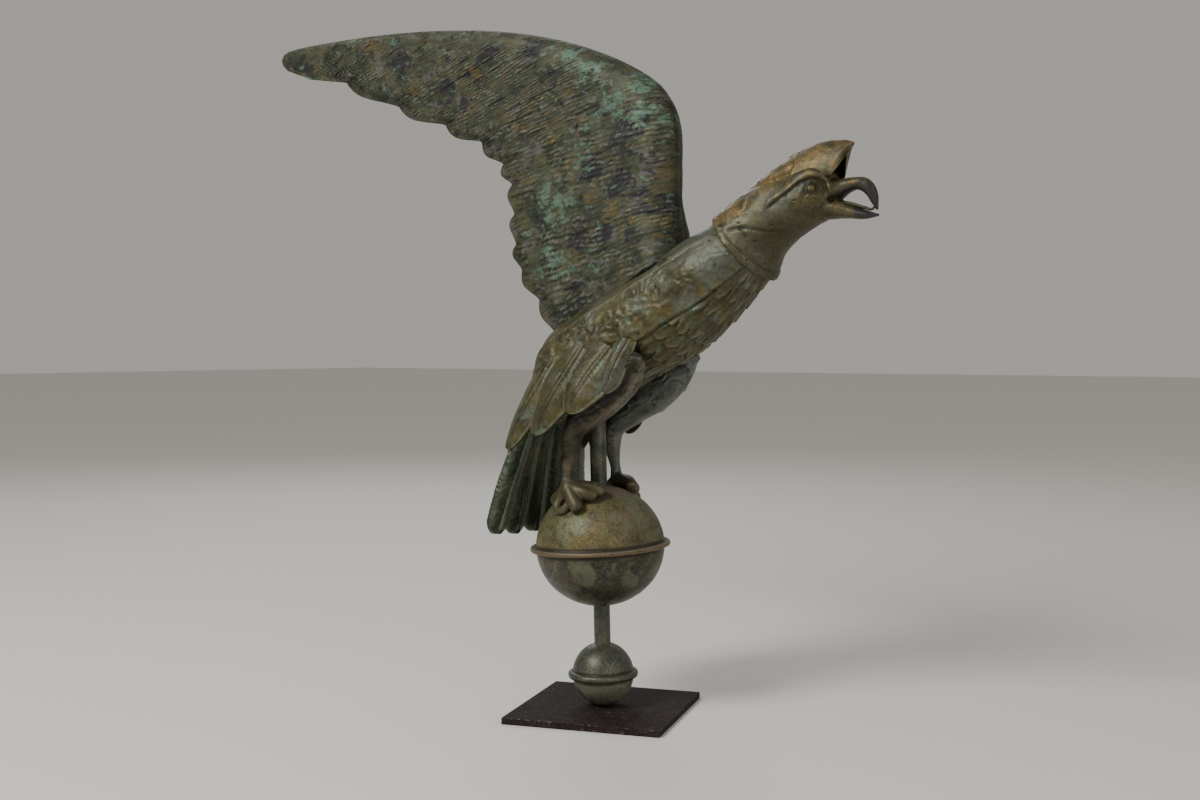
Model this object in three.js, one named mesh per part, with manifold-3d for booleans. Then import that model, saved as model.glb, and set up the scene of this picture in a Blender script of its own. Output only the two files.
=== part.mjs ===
import * as THREE from 'three';
import { mergeVertices } from 'three/addons/utils/BufferGeometryUtils.js';
import Module from 'manifold-3d';

// A copper eagle finial, perched with raised wings on two balls that a pole carries over a stand plate.
// Millimetres, +Z up, +X the way the eagle heads, origin under the middle of the stand plate.

const wasm = await Module();
wasm.setup();

// Gap between two pieces that touch
const fit = 0.3;

// Stand plate
const plateSide = 152.4;
const plateThickness = 6.35;
const plateBevel = 0.6;
const plateTurn = 17.2;

// Pole, and how far it leans off the upright
const poleRadius = 7.9;
const poleBetweenBalls = 35.6;
const poleInBelly = 30;
const poleLean = 1.28;
const leanHeading = 215;

// Small ball, with its half-round bead
const smallBallRadius = 29.5;
const smallBallHalfHeight = 30.4;
const beadReach = 4.2;
const beadHalfHeight = 3.2;

// Large ball, with its rolled lip, sitting askew on the pole
const largeBallRadius = 61.7;
const largeBallHalfHeight = 57.7;
const lipReach = 5.6;
const lipHalfHeight = 2.2;
const largeBallTilt = 1.8;

// Eagle, from the tip of its beak back to its wing tips; every other form of it is a share of this length
const eagleLength = 708;

// Heights of what stands on what
const smallBallMiddle = plateThickness + smallBallHalfHeight;
const largeBallMiddle = smallBallMiddle + smallBallHalfHeight + poleBetweenBalls + largeBallHalfHeight;
const perch = largeBallMiddle + largeBallHalfHeight;

// The eagle is drawn at this length, with the top of its ball at this height
const drawnLength = 708;
const drawnPerch = 219;
const k = eagleLength / drawnLength;

// A place on the eagle: forward, up and to its left
function at(forward, up, left = 0) {
  return new THREE.Vector3(forward * k, left * k, perch + (up - drawnPerch) * k);
}

function lineThrough(places) {
  return new THREE.CatmullRomCurve3(places.map((place) => at(...place)));
}

function valueAlong(values, t) {
  return new THREE.SplineCurve(values.map((value, i) => new THREE.Vector2(i, value))).getPoint(t).y;
}

function volumeOf(geometry) {
  const position = geometry.attributes.position;
  const index = geometry.index.array;
  const [a, b, c] = [new THREE.Vector3(), new THREE.Vector3(), new THREE.Vector3()];
  let total = 0;
  for (let i = 0; i < index.length; i += 3) {
    a.fromBufferAttribute(position, index[i]);
    b.fromBufferAttribute(position, index[i + 1]);
    c.fromBufferAttribute(position, index[i + 2]);
    total += a.dot(b.cross(c)) / 6;
  }
  return total;
}

// Moves every vertex of a stock geometry with a function and makes one closed solid of it, faces outward
function shaped(geometry, place = (point) => point) {
  const position = geometry.attributes.position;
  for (let i = 0; i < position.count; i++) {
    const moved = place(new THREE.Vector3().fromBufferAttribute(position, i));
    position.setXYZ(i, moved.x, moved.y, moved.z);
  }
  geometry.deleteAttribute('normal');
  geometry.deleteAttribute('uv');
  const merged = mergeVertices(geometry, 1e-3);
  const inward = volumeOf(merged) < 0;
  const index = merged.index.array;
  const triVerts = [];
  for (let i = 0; i < index.length; i += 3) {
    const [a, b, c] = inward ? [index[i], index[i + 2], index[i + 1]] : [index[i], index[i + 1], index[i + 2]];
    if (a !== b && b !== c && c !== a) triVerts.push(a, b, c);
  }
  const vertProperties = new Float32Array(merged.attributes.position.array);
  return new wasm.Manifold(new wasm.Mesh({ numProp: 3, vertProperties, triVerts: new Uint32Array(triVerts) }));
}

function joined(solids) {
  return solids.reduce((whole, solid) => whole.add(solid));
}

// The biggest of the bodies that a cut leaves
function biggest(solid) {
  return solid.decompose().reduce((kept, body) => (body.volume() > kept.volume() ? body : kept));
}

function meshOf(name, solid, material) {
  const { vertProperties, triVerts } = solid.getMesh();
  const geometry = new THREE.BufferGeometry();
  geometry.setAttribute('position', new THREE.BufferAttribute(vertProperties, 3));
  geometry.setIndex(new THREE.BufferAttribute(triVerts, 1));
  geometry.computeVertexNormals();
  const mesh = new THREE.Mesh(geometry, material);
  mesh.name = name;
  return mesh;
}

function copper(color, roughness) {
  return new THREE.MeshStandardMaterial({ color, roughness, metalness: 0.6 });
}

// A closed tube whose wall is surface(t, angle) and whose two ends are flat about middle(t)
function loft(around, rings, surface, middle) {
  return shaped(new THREE.CylinderGeometry(1, 1, 1, around, rings), (point) => {
    const t = point.y + 0.5;
    return Math.hypot(point.x, point.z) < 0.5 ? middle(t) : surface(t, Math.atan2(point.x, point.z));
  });
}

// A form on the eagle's middle plane, between an upper and a lower outline, with its half-widths
function trunkForm({ top, bottom, width, around, rings, ridge = 0, grow = 0 }) {
  const topLine = lineThrough(top);
  const bottomLine = lineThrough(bottom);
  const middle = (t) => {
    const here = topLine.getPoint(t).add(bottomLine.getPoint(t)).multiplyScalar(0.5);
    if (t > 0 && t < 1) return here;
    const inside = THREE.MathUtils.clamp(t, 0.05, 0.95);
    const before = topLine.getPoint(inside).add(bottomLine.getPoint(inside)).multiplyScalar(0.5);
    return here.add(here.clone().sub(before).setLength(grow));
  };
  const surface = (t, angle) => {
    const up = topLine.getPoint(t).sub(bottomLine.getPoint(t)).multiplyScalar(0.5);
    up.setLength(up.length() + grow);
    const narrow = 1 - ridge * Math.max(0, Math.cos(angle)) ** 2;
    const half = (valueAlong(width, t) * k + grow) * narrow;
    return middle(t).addScaledVector(up, Math.cos(angle)).add(new THREE.Vector3(0, half * Math.sin(angle), 0));
  };
  return loft(around, rings, surface, middle);
}

// A tapering limb along a path; across is its half-width along side, deep its half-depth
function limb({ path, across, deep, side, around, rings }) {
  const curve = new THREE.CatmullRomCurve3(path);
  const surface = (t, angle) => {
    const tangent = curve.getTangent(t);
    const acrossWay = side.clone().addScaledVector(tangent, -side.dot(tangent)).normalize();
    const deepWay = tangent.clone().cross(acrossWay);
    return curve
      .getPoint(t)
      .addScaledVector(acrossWay, valueAlong(across, t) * k * Math.sin(angle))
      .addScaledVector(deepWay, valueAlong(deep, t) * k * Math.cos(angle));
  };
  return loft(around, rings, surface, (t) => curve.getPoint(t));
}

// A long covert feather: a thin plate from root to tip, crowned across, raised along its shaft, round at its tip
function covertFeather({ root, tip, out, width, grow = 0 }) {
  const thickness = 4.4 * k;
  const crown = 3.2 * k;
  const shaft = 1.6 * k;
  const bow = 3.5 * k;
  const roundFrom = 0.68;
  const from = at(...root);
  const axis = at(...tip).sub(from);
  const side = axis.clone().cross(out).normalize();
  const face = side.clone().cross(axis).normalize();
  const length = axis.length();
  axis.normalize();
  return shaped(new THREE.BoxGeometry(1, 1, 1, 4, 1, 4), (point) => {
    const along = (point.z + 0.5) * (length + 2 * grow) - grow;
    const t = THREE.MathUtils.clamp(along / length, 0, 1);
    const ending = Math.max(0, (t - roundFrom) / (1 - roundFrom));
    const half = (width / 2) * k * (0.82 + 0.18 * Math.sin(Math.PI * t)) * Math.sqrt(1 - 0.86 * ending ** 2);
    const across = point.x * 2 * (half + grow);
    const share = Math.abs(across) / ((width / 2) * k);
    const lift = bow * Math.sin(Math.PI * t) - crown * share ** 2 + shaft * Math.max(0, 1 - share);
    return from
      .clone()
      .addScaledVector(axis, along)
      .addScaledVector(side, across)
      .addScaledVector(face, lift + point.y * (thickness + 2 * grow));
  });
}

// Trunk, from inside the collar to the rump
function trunk(grow) {
  return trunkForm({
    top: [[139, 462], [134, 458], [109, 447], [82, 434], [52, 419], [20, 402], [-13, 384], [-41, 365], [-50, 339], [-59, 313], [-63, 292]],
    bottom: [[192, 413], [186, 410], [161, 385], [134, 361], [105, 341], [72, 327], [34, 308], [2, 293], [-20, 285], [-38, 280], [-52, 277]],
    width: [35.5, 36.5, 42, 46, 48.5, 51, 53.5, 53.5, 50, 43, 32],
    around: 20,
    rings: 10,
    grow,
  });
}

// Long coverts, each with its tip and root on the right side and the way it faces; the left side mirrors them but
// for its tips, which hang lower by sag
const coverts = [
  { tip: [-79, 249, -18], root: [-44, 346, -10], out: [-1, 0.35, -0.2], width: 36, sag: 6 },
  { tip: [-67, 251, -49], root: [-29, 347, -30], out: [-1, 0.35, -0.9], width: 35, sag: 11 },
  { tip: [-56, 257, -66], root: [-10, 352, -42], out: [-0.35, 0.15, -1], width: 30, sag: 10 },
  { tip: [-18, 272, -74], root: [20, 352, -50], out: [-0.1, 0.1, -1], width: 33, sag: 4.5 },
  { tip: [18, 292, -71], root: [50, 352, -49], out: [0, 0.1, -1], width: 35, sag: 6 },
  { tip: [54, 310, -62], root: [72, 358, -46], out: [0.1, 0.1, -1], width: 25, sag: 4 },
];

function covertSkirt(grow) {
  const feathers = [];
  for (const { tip, root, out, width, sag } of coverts) {
    for (const hand of [1, -1]) {
      feathers.push(
        covertFeather({
          tip: [tip[0], tip[1] - (hand < 0 ? sag : 0), tip[2] * hand],
          root: [root[0], root[1], root[2] * hand],
          out: new THREE.Vector3(out[0], out[2] * hand, out[1]),
          width,
          grow,
        }),
      );
    }
  }
  return joined(feathers);
}

function poleSolid(grow, bottom, top) {
  const cylinder = new THREE.CylinderGeometry(poleRadius + grow, poleRadius + grow, top - bottom, 16);
  cylinder.rotateX(Math.PI / 2);
  cylinder.translate(0, 0, (top + bottom) / 2);
  return shaped(cylinder);
}

const bellyHeight = at(0, 292).z;
const poleTop = bellyHeight + poleInBelly;
const poleBottom = plateThickness + 2 * fit;

function makeBody() {
  const socket = poleSolid(fit, poleBottom, poleTop + fit);
  return biggest(trunk(0).add(covertSkirt(0)).subtract(socket));
}

// Neck, skull and both halves of the beak
function headForm(grow) {
  const skull = trunkForm({
    top: [[140, 467], [151, 474], [164, 482], [181, 490], [200, 496], [222, 500], [240, 498], [250, 491]],
    bottom: [[190, 406], [193, 415], [198, 425.5], [207, 435], [220, 444], [234, 451], [246, 456], [252, 461]],
    width: [39.5, 36, 33, 30, 27.5, 25, 20, 13],
    around: 16,
    rings: 9,
    grow,
  });
  const upperBeak = trunkForm({
    top: [[240, 494], [257, 489], [269, 489.5], [280, 488.5], [287, 483], [291, 474], [291.5, 461]],
    bottom: [[242, 470], [255, 470.5], [265, 476.5], [273, 478.5], [280, 474.5], [285, 467], [289.5, 460]],
    width: [15, 11.5, 8.5, 7, 5.5, 3.5, 1],
    around: 8,
    rings: 7,
    grow,
  });
  const lowerBeak = trunkForm({
    top: [[240, 474], [255, 472.5], [266, 467.5], [279, 461.5], [292, 457]],
    bottom: [[238, 455], [251, 455.5], [264, 455], [278, 453.5], [291, 455]],
    width: [15, 12, 9, 6.5, 2],
    around: 8,
    rings: 4,
    grow,
  });
  return joined([skull, upperBeak, lowerBeak]);
}

// Head shell with its hooded crest, and the eyes in their sockets
function makeHead() {
  const crest = trunkForm({
    top: [[152, 475], [174, 490.5], [193, 501.5], [207, 510], [222, 516.5], [238, 520.5], [254, 522], [270.5, 518.5]],
    bottom: [[164, 462], [184, 472], [200, 478], [212, 482], [222, 485], [232, 488], [242, 490], [253, 492]],
    width: [9, 15, 18, 19, 19, 18, 15, 11],
    ridge: 0.25,
    around: 10,
    rings: 7,
  });
  const hood = trunkForm({
    top: [[226, 509], [242, 514.5], [258, 517], [276, 516]],
    bottom: [[232, 501], [240, 498.5], [250, 497.5], [261, 496]],
    width: [4, 9, 10, 9],
    ridge: 0.25,
    around: 6,
    rings: 3,
  });
  let head = headForm(0).add(crest).subtract(hood).subtract(trunk(fit));
  for (const hand of [1, -1]) {
    const socketSlant = 21;
    const socket = new THREE.SphereGeometry(1, 10, 6);
    socket.scale(29 * k, 11 * k, 10 * k);
    socket.rotateY(-THREE.MathUtils.degToRad(socketSlant));
    const socketPlace = at(226, 476, 33.5 * hand);
    socket.translate(socketPlace.x, socketPlace.y, socketPlace.z);
    const eye = new THREE.SphereGeometry(5 * k, 8, 4);
    const eyePlace = at(239, 481, 19.5 * hand);
    eye.translate(eyePlace.x, eyePlace.y, eyePlace.z);
    head = head.subtract(shaped(socket)).add(shaped(eye));
  }
  return biggest(head);
}

// Tongue: a thin strip that springs from the lower beak and curls up to the hook
function makeTongue() {
  const strip = limb({
    path: [at(256, 470), at(268, 467), at(278, 463.5), at(285, 461.5), at(289, 464)],
    across: [4, 3.6, 2.8, 1.8, 0.8],
    deep: [1.6, 1.5, 1.4, 1.2, 0.8],
    side: new THREE.Vector3(0, 1, 0),
    around: 6,
    rings: 6,
  });
  return biggest(strip.subtract(headForm(fit)));
}

// Wing outline by ribs: where each rib starts at the leading edge and ends in a notch of the trailing edge
const wingRibs = [
  { lead: [104, 432], trail: [-43, 362] },
  { lead: [99, 462], trail: [-66, 398] },
  { lead: [96, 487], trail: [-87, 428] },
  { lead: [97, 512], trail: [-93, 454] },
  { lead: [98, 539], trail: [-95, 484] },
  { lead: [94, 564], trail: [-97, 513] },
  { lead: [78, 590], trail: [-107, 534] },
  { lead: [43, 614], trail: [-135, 558] },
  { lead: [-18, 641], trail: [-182, 580] },
  { lead: [-96, 663], trail: [-245, 606] },
  { lead: [-209, 680], trail: [-321, 641] },
  { lead: [-343, 687], trail: [-375, 651] },
  { lead: [-407, 684.5], trail: [-410, 665.5] },
  { lead: [-416.5, 678.5], trail: [-417.2, 671.5] },
];
const wingThickness = [36, 30, 26.5, 25, 24, 23, 22, 20, 17, 14, 11, 9, 7, 3];
const wingFeathers = 10;

function makeWings() {
  const leadLine = lineThrough(wingRibs.map((rib) => rib.lead));
  const trailLine = new THREE.CurvePath();
  const notches = wingRibs.map((rib) => at(...rib.trail));
  for (let i = 0; i < notches.length - 1; i++) trailLine.add(new THREE.LineCurve3(notches[i], notches[i + 1]));
  const ribs = wingRibs.length - 1;
  const ringsPerRib = 3;
  const featherBulge = 6.5 * k;
  const featherStep = 1.6 * k;
  const scaleLift = 1.1 * k;
  const bluntShare = 0.16;
  const edgeShare = 0.1;
  const around = 18;
  const edgesAt = (t) => {
    const place = t * ribs;
    const feather = Math.min(Math.floor(place + 1e-6), ribs - 1);
    const s = Math.max(0, place - feather);
    const trail = trailLine.curves[feather].getPoint(s);
    const run = notches[feather + 1].clone().sub(notches[feather]).normalize();
    const outward = new THREE.Vector3(-run.z, 0, run.x).negate();
    const bulge = feather < wingFeathers ? featherBulge * Math.sin(Math.PI * s ** 1.7) : 0;
    return { lead: leadLine.getPoint(t), trail: trail.addScaledVector(outward, -bulge), feather, s };
  };
  const surface = (t, angle) => {
    const { lead, trail, feather, s } = edgesAt(t);
    const u = Math.abs(angle) / Math.PI;
    const blunt = Math.sqrt(1 - Math.max(0, 1 - u / bluntShare) ** 2);
    const taper = 1 - (1 - edgeShare) * Math.max(0, (u - bluntShare) / (1 - bluntShare)) ** 1.15;
    const half = valueAlong(wingThickness, t) * k * blunt * (u > 0.999 ? 0 : taper);
    const covered = Math.min(1, Math.max(0, (u - bluntShare) / 0.1));
    const step = feather < wingFeathers ? featherStep * covered * Math.sin(Math.PI * s ** 0.6) : 0;
    const row = Math.round(t * ribs * ringsPerRib);
    const column = Math.round((u * around) / 2);
    const scale = (row + column) % 2 && u > bluntShare && u < 0.7 ? scaleLift : 0;
    const relief = u > 0.999 || u < 0.001 ? 0 : Math.min(step + scale, half * 0.6);
    return lead.lerp(trail, u).add(new THREE.Vector3(0, Math.sign(angle) * (half + relief), 0));
  };
  const middle = (t) => edgesAt(t).lead.lerp(edgesAt(t).trail, 0.5);
  return biggest(loft(around, ribs * ringsPerRib, surface, middle).subtract(bodyClear));
}

// Tail: a fan of long feathers, each rolled round like a tube and closed at its tip
function makeTail(blockers) {
  const feathers = 5;
  const rootSpread = 34;
  const middleSpread = 49;
  const tipSpread = 64;
  const archAtMiddle = 5;
  const solids = [];
  for (let i = 0; i < feathers; i++) {
    const s = (2 * i) / (feathers - 1) - 1;
    const arch = archAtMiddle * (1 - s * s);
    solids.push(
      limb({
        path: [at(-53 - arch, 300, s * rootSpread), at(-64 - arch, 240, s * middleSpread), at(-75 - arch, 190 - arch, s * (tipSpread - 2)), at(-77.5 - arch, 176 - arch, s * tipSpread)],
        across: [13, 17.5, 18.5, 10],
        deep: [7, 8.5, 8.5, 5],
        side: new THREE.Vector3(0, 1, 0),
        around: 8,
        rings: 4,
      }),
    );
  }
  return biggest(blockers.reduce((tail, blocker) => tail.subtract(blocker), joined(solids)));
}

// Height of the large ball's upper side at a place beside the pole
function ballTopAt(x, y) {
  const share = Math.min(0.98, Math.hypot(x, y) / largeBallRadius);
  return largeBallMiddle + largeBallHalfHeight * Math.sqrt(1 - share ** 2);
}

// A toe from the ankle over its knuckle to its claw, which lies on the ball
function toe({ ankle, knuckle, claw, thick }) {
  const onBall = ([x, y], above) => new THREE.Vector3(x * k, y * k, ballTopAt(x * k, y * k) + above * k);
  const lift = thick * 1.5;
  const path = [ankle, onBall(knuckle, lift), onBall([(knuckle[0] + 2 * claw[0]) / 3, (knuckle[1] + 2 * claw[1]) / 3], thick), onBall(claw, 0.8)];
  const run = path[3].clone().sub(path[0]).setZ(0);
  return limb({
    path,
    across: [thick, thick, thick * 0.95, thick * 0.55],
    deep: [thick, thick * 0.9, thick * 0.85, thick * 0.5],
    side: new THREE.Vector3(-run.y, run.x, 0).normalize(),
    around: 6,
    rings: 3,
  });
}

function makeLeg(hand, blockers) {
  const thighAndShank = limb({
    path: [at(86, 340, 48 * hand), at(77, 337, 46 * hand), at(61, 327, 43.5 * hand), at(37, 309, 43 * hand), at(14, 290, 39 * hand), at(-4, 271, 35 * hand), at(-8, 252, 36 * hand), at(-8, 234, 40 * hand), at(-7, 220, 41 * hand)],
    across: [3, 9, 15, 17, 14, 9.5, 7, 5, 6.5],
    deep: [3, 11, 20, 22, 16, 10.5, 8, 5, 6.5],
    side: new THREE.Vector3(0, 1, 0),
    around: 8,
    rings: 9,
  });
  const ankle = at(-7, 221, 41 * hand);
  const toes = [
    { knuckle: [11, 35 * hand], claw: [21, 28 * hand], thick: 8 },
    { knuckle: [4, 46 * hand], claw: [11, 48.5 * hand], thick: 6.2 },
    { knuckle: [-13, 44 * hand], claw: [-10, 47.5 * hand], thick: 5.2 },
    { knuckle: [-18, 39 * hand], claw: [-28, 35 * hand], thick: 5.6 },
  ];
  const solids = [thighAndShank, ...toes.map((toeSizes) => toe({ ankle, ...toeSizes }))];
  return biggest(blockers.reduce((leg, blocker) => leg.subtract(blocker), joined(solids)));
}

// Half of a spun ball: a cup up or down from its equator, with a ring round it where one is asked for
function cup({ radius, halfHeight, sides, up, ringReach = 0, ringHalfHeight = 0, grow = 0 }) {
  const steps = 6;
  const seam = grow ? -1 : fit / 2;
  const profile = [new THREE.Vector2(0, seam * up)];
  if (ringReach) {
    const inner = radius + fit;
    profile.push(new THREE.Vector2(inner, seam), new THREE.Vector2(inner, -ringHalfHeight));
    for (let i = 0; i <= 4; i++) {
      const angle = -Math.PI / 2 + (Math.PI * i) / 4;
      const reach = radius + ringReach - ringHalfHeight * 0.8 + ringHalfHeight * 0.8 * Math.cos(angle);
      profile.push(new THREE.Vector2(reach, ringHalfHeight * Math.sin(angle)));
    }
  }
  const lowest = ringReach ? Math.asin(Math.min(0.9, ringHalfHeight / halfHeight)) : Math.asin(Math.abs(seam) / halfHeight);
  for (let i = 0; i <= steps; i++) {
    const angle = THREE.MathUtils.lerp(lowest, Math.PI / 2, i / steps);
    const reach = i === steps ? 0 : (radius + grow) * Math.cos(angle);
    profile.push(new THREE.Vector2(reach, (halfHeight + grow) * Math.sin(angle) * up));
  }
  const geometry = new THREE.LatheGeometry(profile, sides);
  geometry.rotateX(Math.PI / 2);
  return shaped(geometry);
}

function tilted(solid, height) {
  const lean = THREE.MathUtils.degToRad(largeBallTilt);
  const way = THREE.MathUtils.degToRad(leanHeading);
  const axis = new THREE.Vector3(-Math.sin(way), Math.cos(way), 0);
  const turn = new THREE.Matrix4().makeRotationAxis(axis, lean).setPosition(0, 0, height);
  return solid.transform(turn.elements);
}

function makeStandPlate() {
  const half = plateSide / 2 - plateBevel;
  const outline = new THREE.Shape();
  outline.moveTo(-half, -half);
  outline.lineTo(half, -half);
  outline.lineTo(half, half);
  outline.lineTo(-half, half);
  outline.closePath();
  const plate = new THREE.ExtrudeGeometry(outline, {
    depth: plateThickness - 2 * plateBevel,
    bevelThickness: plateBevel,
    bevelSize: plateBevel,
    bevelSegments: 1,
  });
  plate.translate(0, 0, plateBevel);
  plate.rotateZ(THREE.MathUtils.degToRad(plateTurn));
  return shaped(plate);
}

// Pieces on the pole are bored for it and cut where they meet
const bore = poleSolid(fit, -1, poleTop + 1);
const smallBall = { radius: smallBallRadius, halfHeight: smallBallHalfHeight, sides: 14 };
const largeBall = { radius: largeBallRadius, halfHeight: largeBallHalfHeight, sides: 18 };
const belowPlateTop = shaped(new THREE.BoxGeometry(plateSide, plateSide, plateThickness).translate(0, 0, plateThickness / 2 + 2 * fit));
const raised = (solid, height) => solid.translate([0, 0, height]);

const smallBallUpper = raised(cup({ ...smallBall, up: 1, ringReach: beadReach, ringHalfHeight: beadHalfHeight }), smallBallMiddle);
const smallBallLower = raised(cup({ ...smallBall, up: -1 }), smallBallMiddle).subtract(belowPlateTop);
const largeBallUpper = tilted(cup({ ...largeBall, up: 1, ringReach: lipReach, ringHalfHeight: lipHalfHeight }), largeBallMiddle);
const largeBallLower = tilted(cup({ ...largeBall, up: -1 }), largeBallMiddle);
const largeBallClear = tilted(cup({ ...largeBall, up: 1, grow: fit }), largeBallMiddle);

const bodyClear = trunk(2 * fit).add(covertSkirt(2 * fit));
const rightLeg = makeLeg(-1, [bodyClear, largeBallClear, bore]);
const leftLeg = makeLeg(1, [bodyClear, largeBallClear, bore]);

const leaning = new THREE.Group();
const leanWay = THREE.MathUtils.degToRad(leanHeading);
leaning.rotateOnAxis(new THREE.Vector3(-Math.sin(leanWay), Math.cos(leanWay), 0), THREE.MathUtils.degToRad(poleLean));
leaning.add(
  meshOf('pole', poleSolid(0, poleBottom, poleTop), copper(0x4a4a38, 0.55)),
  meshOf('small_ball_lower', smallBallLower.subtract(bore), copper(0x454a38, 0.6)),
  meshOf('small_ball_upper', smallBallUpper.subtract(bore), copper(0x55573d, 0.6)),
  meshOf('large_ball_lower', largeBallLower.subtract(bore), copper(0x3d3524, 0.6)),
  meshOf('large_ball_upper', largeBallUpper.subtract(bore), copper(0x6a6136, 0.55)),
  meshOf('body', makeBody(), copper(0x7a7148, 0.55)),
  meshOf('head', makeHead(), copper(0x75673f, 0.5)),
  meshOf('tongue', makeTongue(), copper(0x4b4636, 0.5)),
  meshOf('wings', makeWings(), copper(0x5d6146, 0.6)),
  meshOf('tail', makeTail([bodyClear]), copper(0x2f3b2c, 0.5)),
  meshOf('right_leg', rightLeg, copper(0x6c6547, 0.5)),
  meshOf('left_leg', leftLeg, copper(0x5c6052, 0.5)),
);

const eagleFinial = new THREE.Group();
const blackSteel = new THREE.MeshStandardMaterial({ color: 0x1c1b1c, roughness: 0.6, metalness: 0.5 });
eagleFinial.add(meshOf('stand_plate', makeStandPlate(), blackSteel), leaning);

export default eagleFinial;
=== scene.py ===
import math

import bmesh
import bpy
import numpy as np
from mathutils import Matrix, Vector


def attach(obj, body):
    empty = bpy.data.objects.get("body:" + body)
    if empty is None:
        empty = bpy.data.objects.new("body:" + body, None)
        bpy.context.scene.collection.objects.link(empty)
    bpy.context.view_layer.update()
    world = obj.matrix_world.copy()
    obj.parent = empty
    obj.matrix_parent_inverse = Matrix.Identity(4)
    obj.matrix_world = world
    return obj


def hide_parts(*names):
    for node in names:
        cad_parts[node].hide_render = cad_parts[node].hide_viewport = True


# A patinated copper eagle with raised wings, on two balls and a pole over a black steel plate.
# Shapes are drawn in millimetres, +X the way the eagle heads, and its right side is -Y.

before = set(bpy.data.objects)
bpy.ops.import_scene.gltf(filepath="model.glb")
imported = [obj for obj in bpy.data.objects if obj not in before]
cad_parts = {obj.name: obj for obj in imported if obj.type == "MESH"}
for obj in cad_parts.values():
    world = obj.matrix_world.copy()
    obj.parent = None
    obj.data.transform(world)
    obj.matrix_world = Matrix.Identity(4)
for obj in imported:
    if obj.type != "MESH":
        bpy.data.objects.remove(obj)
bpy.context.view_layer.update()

mm = 0.001
lean = {"way": 215, "eagle": 1.28}  # degrees: which way the work leans, and how far
drawnDrop = 0.85  # the eagle is drawn this much higher than it stands


def leanBy(degrees):
    way = math.radians(lean["way"])
    return np.array(Matrix.Rotation(math.radians(degrees), 3, Vector((-math.sin(way), math.cos(way), 0))))


def hashed(cells, seed):
    # a repeatable random number from 0 to 1 for each whole-numbered cell
    mixed = np.full(len(cells), seed * 7919 + 17, dtype=np.uint64)
    for column in range(cells.shape[1]):
        part = (cells[:, column].astype(np.int64) & 0xFFFFFFFF).astype(np.uint64)
        mixed = (mixed ^ part) * np.uint64(2654435761) & np.uint64(0xFFFFFFFF)
        mixed = (mixed ^ (mixed >> np.uint64(15))) * np.uint64(2246822519) & np.uint64(0xFFFFFFFF)
        mixed = mixed ^ (mixed >> np.uint64(13))
    return mixed.astype(float) / 2**32


def softNoise(places, size, seed):
    # smooth lumps of about this size, from -1 to 1
    scaled = places / size
    low = np.floor(scaled)
    share = scaled - low
    share = share * share * (3 - 2 * share)
    total = np.zeros(len(places))
    for corner in range(2 ** places.shape[1]):
        offset = np.array([(corner >> axis) & 1 for axis in range(places.shape[1])])
        weight = np.prod(np.where(offset == 1, share, 1 - share), axis=1)
        total += weight * hashed(low + offset, seed)
    return total * 2 - 1


def roughNoise(places, size, seed):
    return (softNoise(places, size, seed) + 0.5 * softNoise(places, size * 0.47, seed + 1)) / 1.5


def step(low, high, value):
    share = np.clip((value - low) / (high - low), 0, 1)
    return share * share * (3 - 2 * share)


def bell(distance, width):
    return np.exp(-((distance / width) ** 2))


def ripple(turns):
    return np.sin(2 * math.pi * turns)


def creases(places, size, seed, sharp=2.4):
    # winding ridges, 1 along their crests
    return 1 - sharp * np.abs(softNoise(places, size, seed))


def eased(b, c, leave, arrive, w):
    # from b to c as w goes from 0 to 1, with these slopes at the two ends
    return b + leave * w + (3 * (c - b) - 2 * leave - arrive) * w**2 + (2 * (b - c) + leave + arrive) * w**3


def spline(points, t):
    # a smooth curve through every point, evenly shared out between them
    points = np.asarray(points, float)
    place = np.clip(t, 0, 1) * (len(points) - 1)
    index = np.minimum(place.astype(int), len(points) - 2)
    w = (place - index)[:, None]
    longer = np.vstack([2 * points[0] - points[1], points, 2 * points[-1] - points[-2]])
    a, b, c, d = (longer[index + i] for i in range(4))
    chords = (np.linalg.norm(q - p, axis=1) for p, q in ((a, b), (b, c), (c, d)))
    ab, bc, cd = (np.maximum(chord, 1e-6)[:, None] ** 0.5 for chord in chords)
    leave = ((b - a) / ab - (c - a) / (ab + bc) + (c - b) / bc) * bc
    arrive = ((c - b) / bc - (d - b) / (bc + cd) + (d - c) / cd) * bc
    return eased(b, c, leave, arrive, w)


def valueAlong(values, t):
    values = np.asarray(values, float)
    place = np.clip(t, 0, 1) * (len(values) - 1)
    index = np.minimum(place.astype(int), len(values) - 2)
    a, b, c, d = (values[np.clip(index + i, 0, len(values) - 1)] for i in (-1, 0, 1, 2))
    return eased(b, c, (c - a) / 2, (d - b) / 2, place - index)


def toStroke(flat, line):
    # distance from each flat place to a line of a few points, how far along it that is, and on which side
    best = np.full(len(flat), 1e9)
    run = np.zeros(len(flat))
    left = np.zeros(len(flat))
    line = np.asarray(line, float)
    for i, (start, end) in enumerate(zip(line[:-1], line[1:])):
        way = end - start
        offset = flat - start
        share = np.clip((offset @ way) / (way @ way), 0, 1)
        distance = np.linalg.norm(offset - share[:, None] * way, axis=1)
        nearer = distance < best
        best[nearer] = distance[nearer]
        run[nearer] = (i + share[nearer]) / (len(line) - 1)
        left[nearer] = np.sign(way[0] * offset[nearer, 1] - way[1] * offset[nearer, 0])
    return best, run, left


def meshFrom(shape, name):
    mesh = bpy.data.meshes.new(name)
    shape.to_mesh(mesh)
    shape.free()
    return mesh


def placed(name, data):
    holder = bpy.data.objects.new(name, data)
    bpy.context.collection.objects.link(holder)
    return holder


def readPoints(mesh):
    flat = np.empty(len(mesh.vertices) * 3, np.float32)
    mesh.vertices.foreach_get("co", flat)
    return flat.reshape(-1, 3).astype(float)


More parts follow.
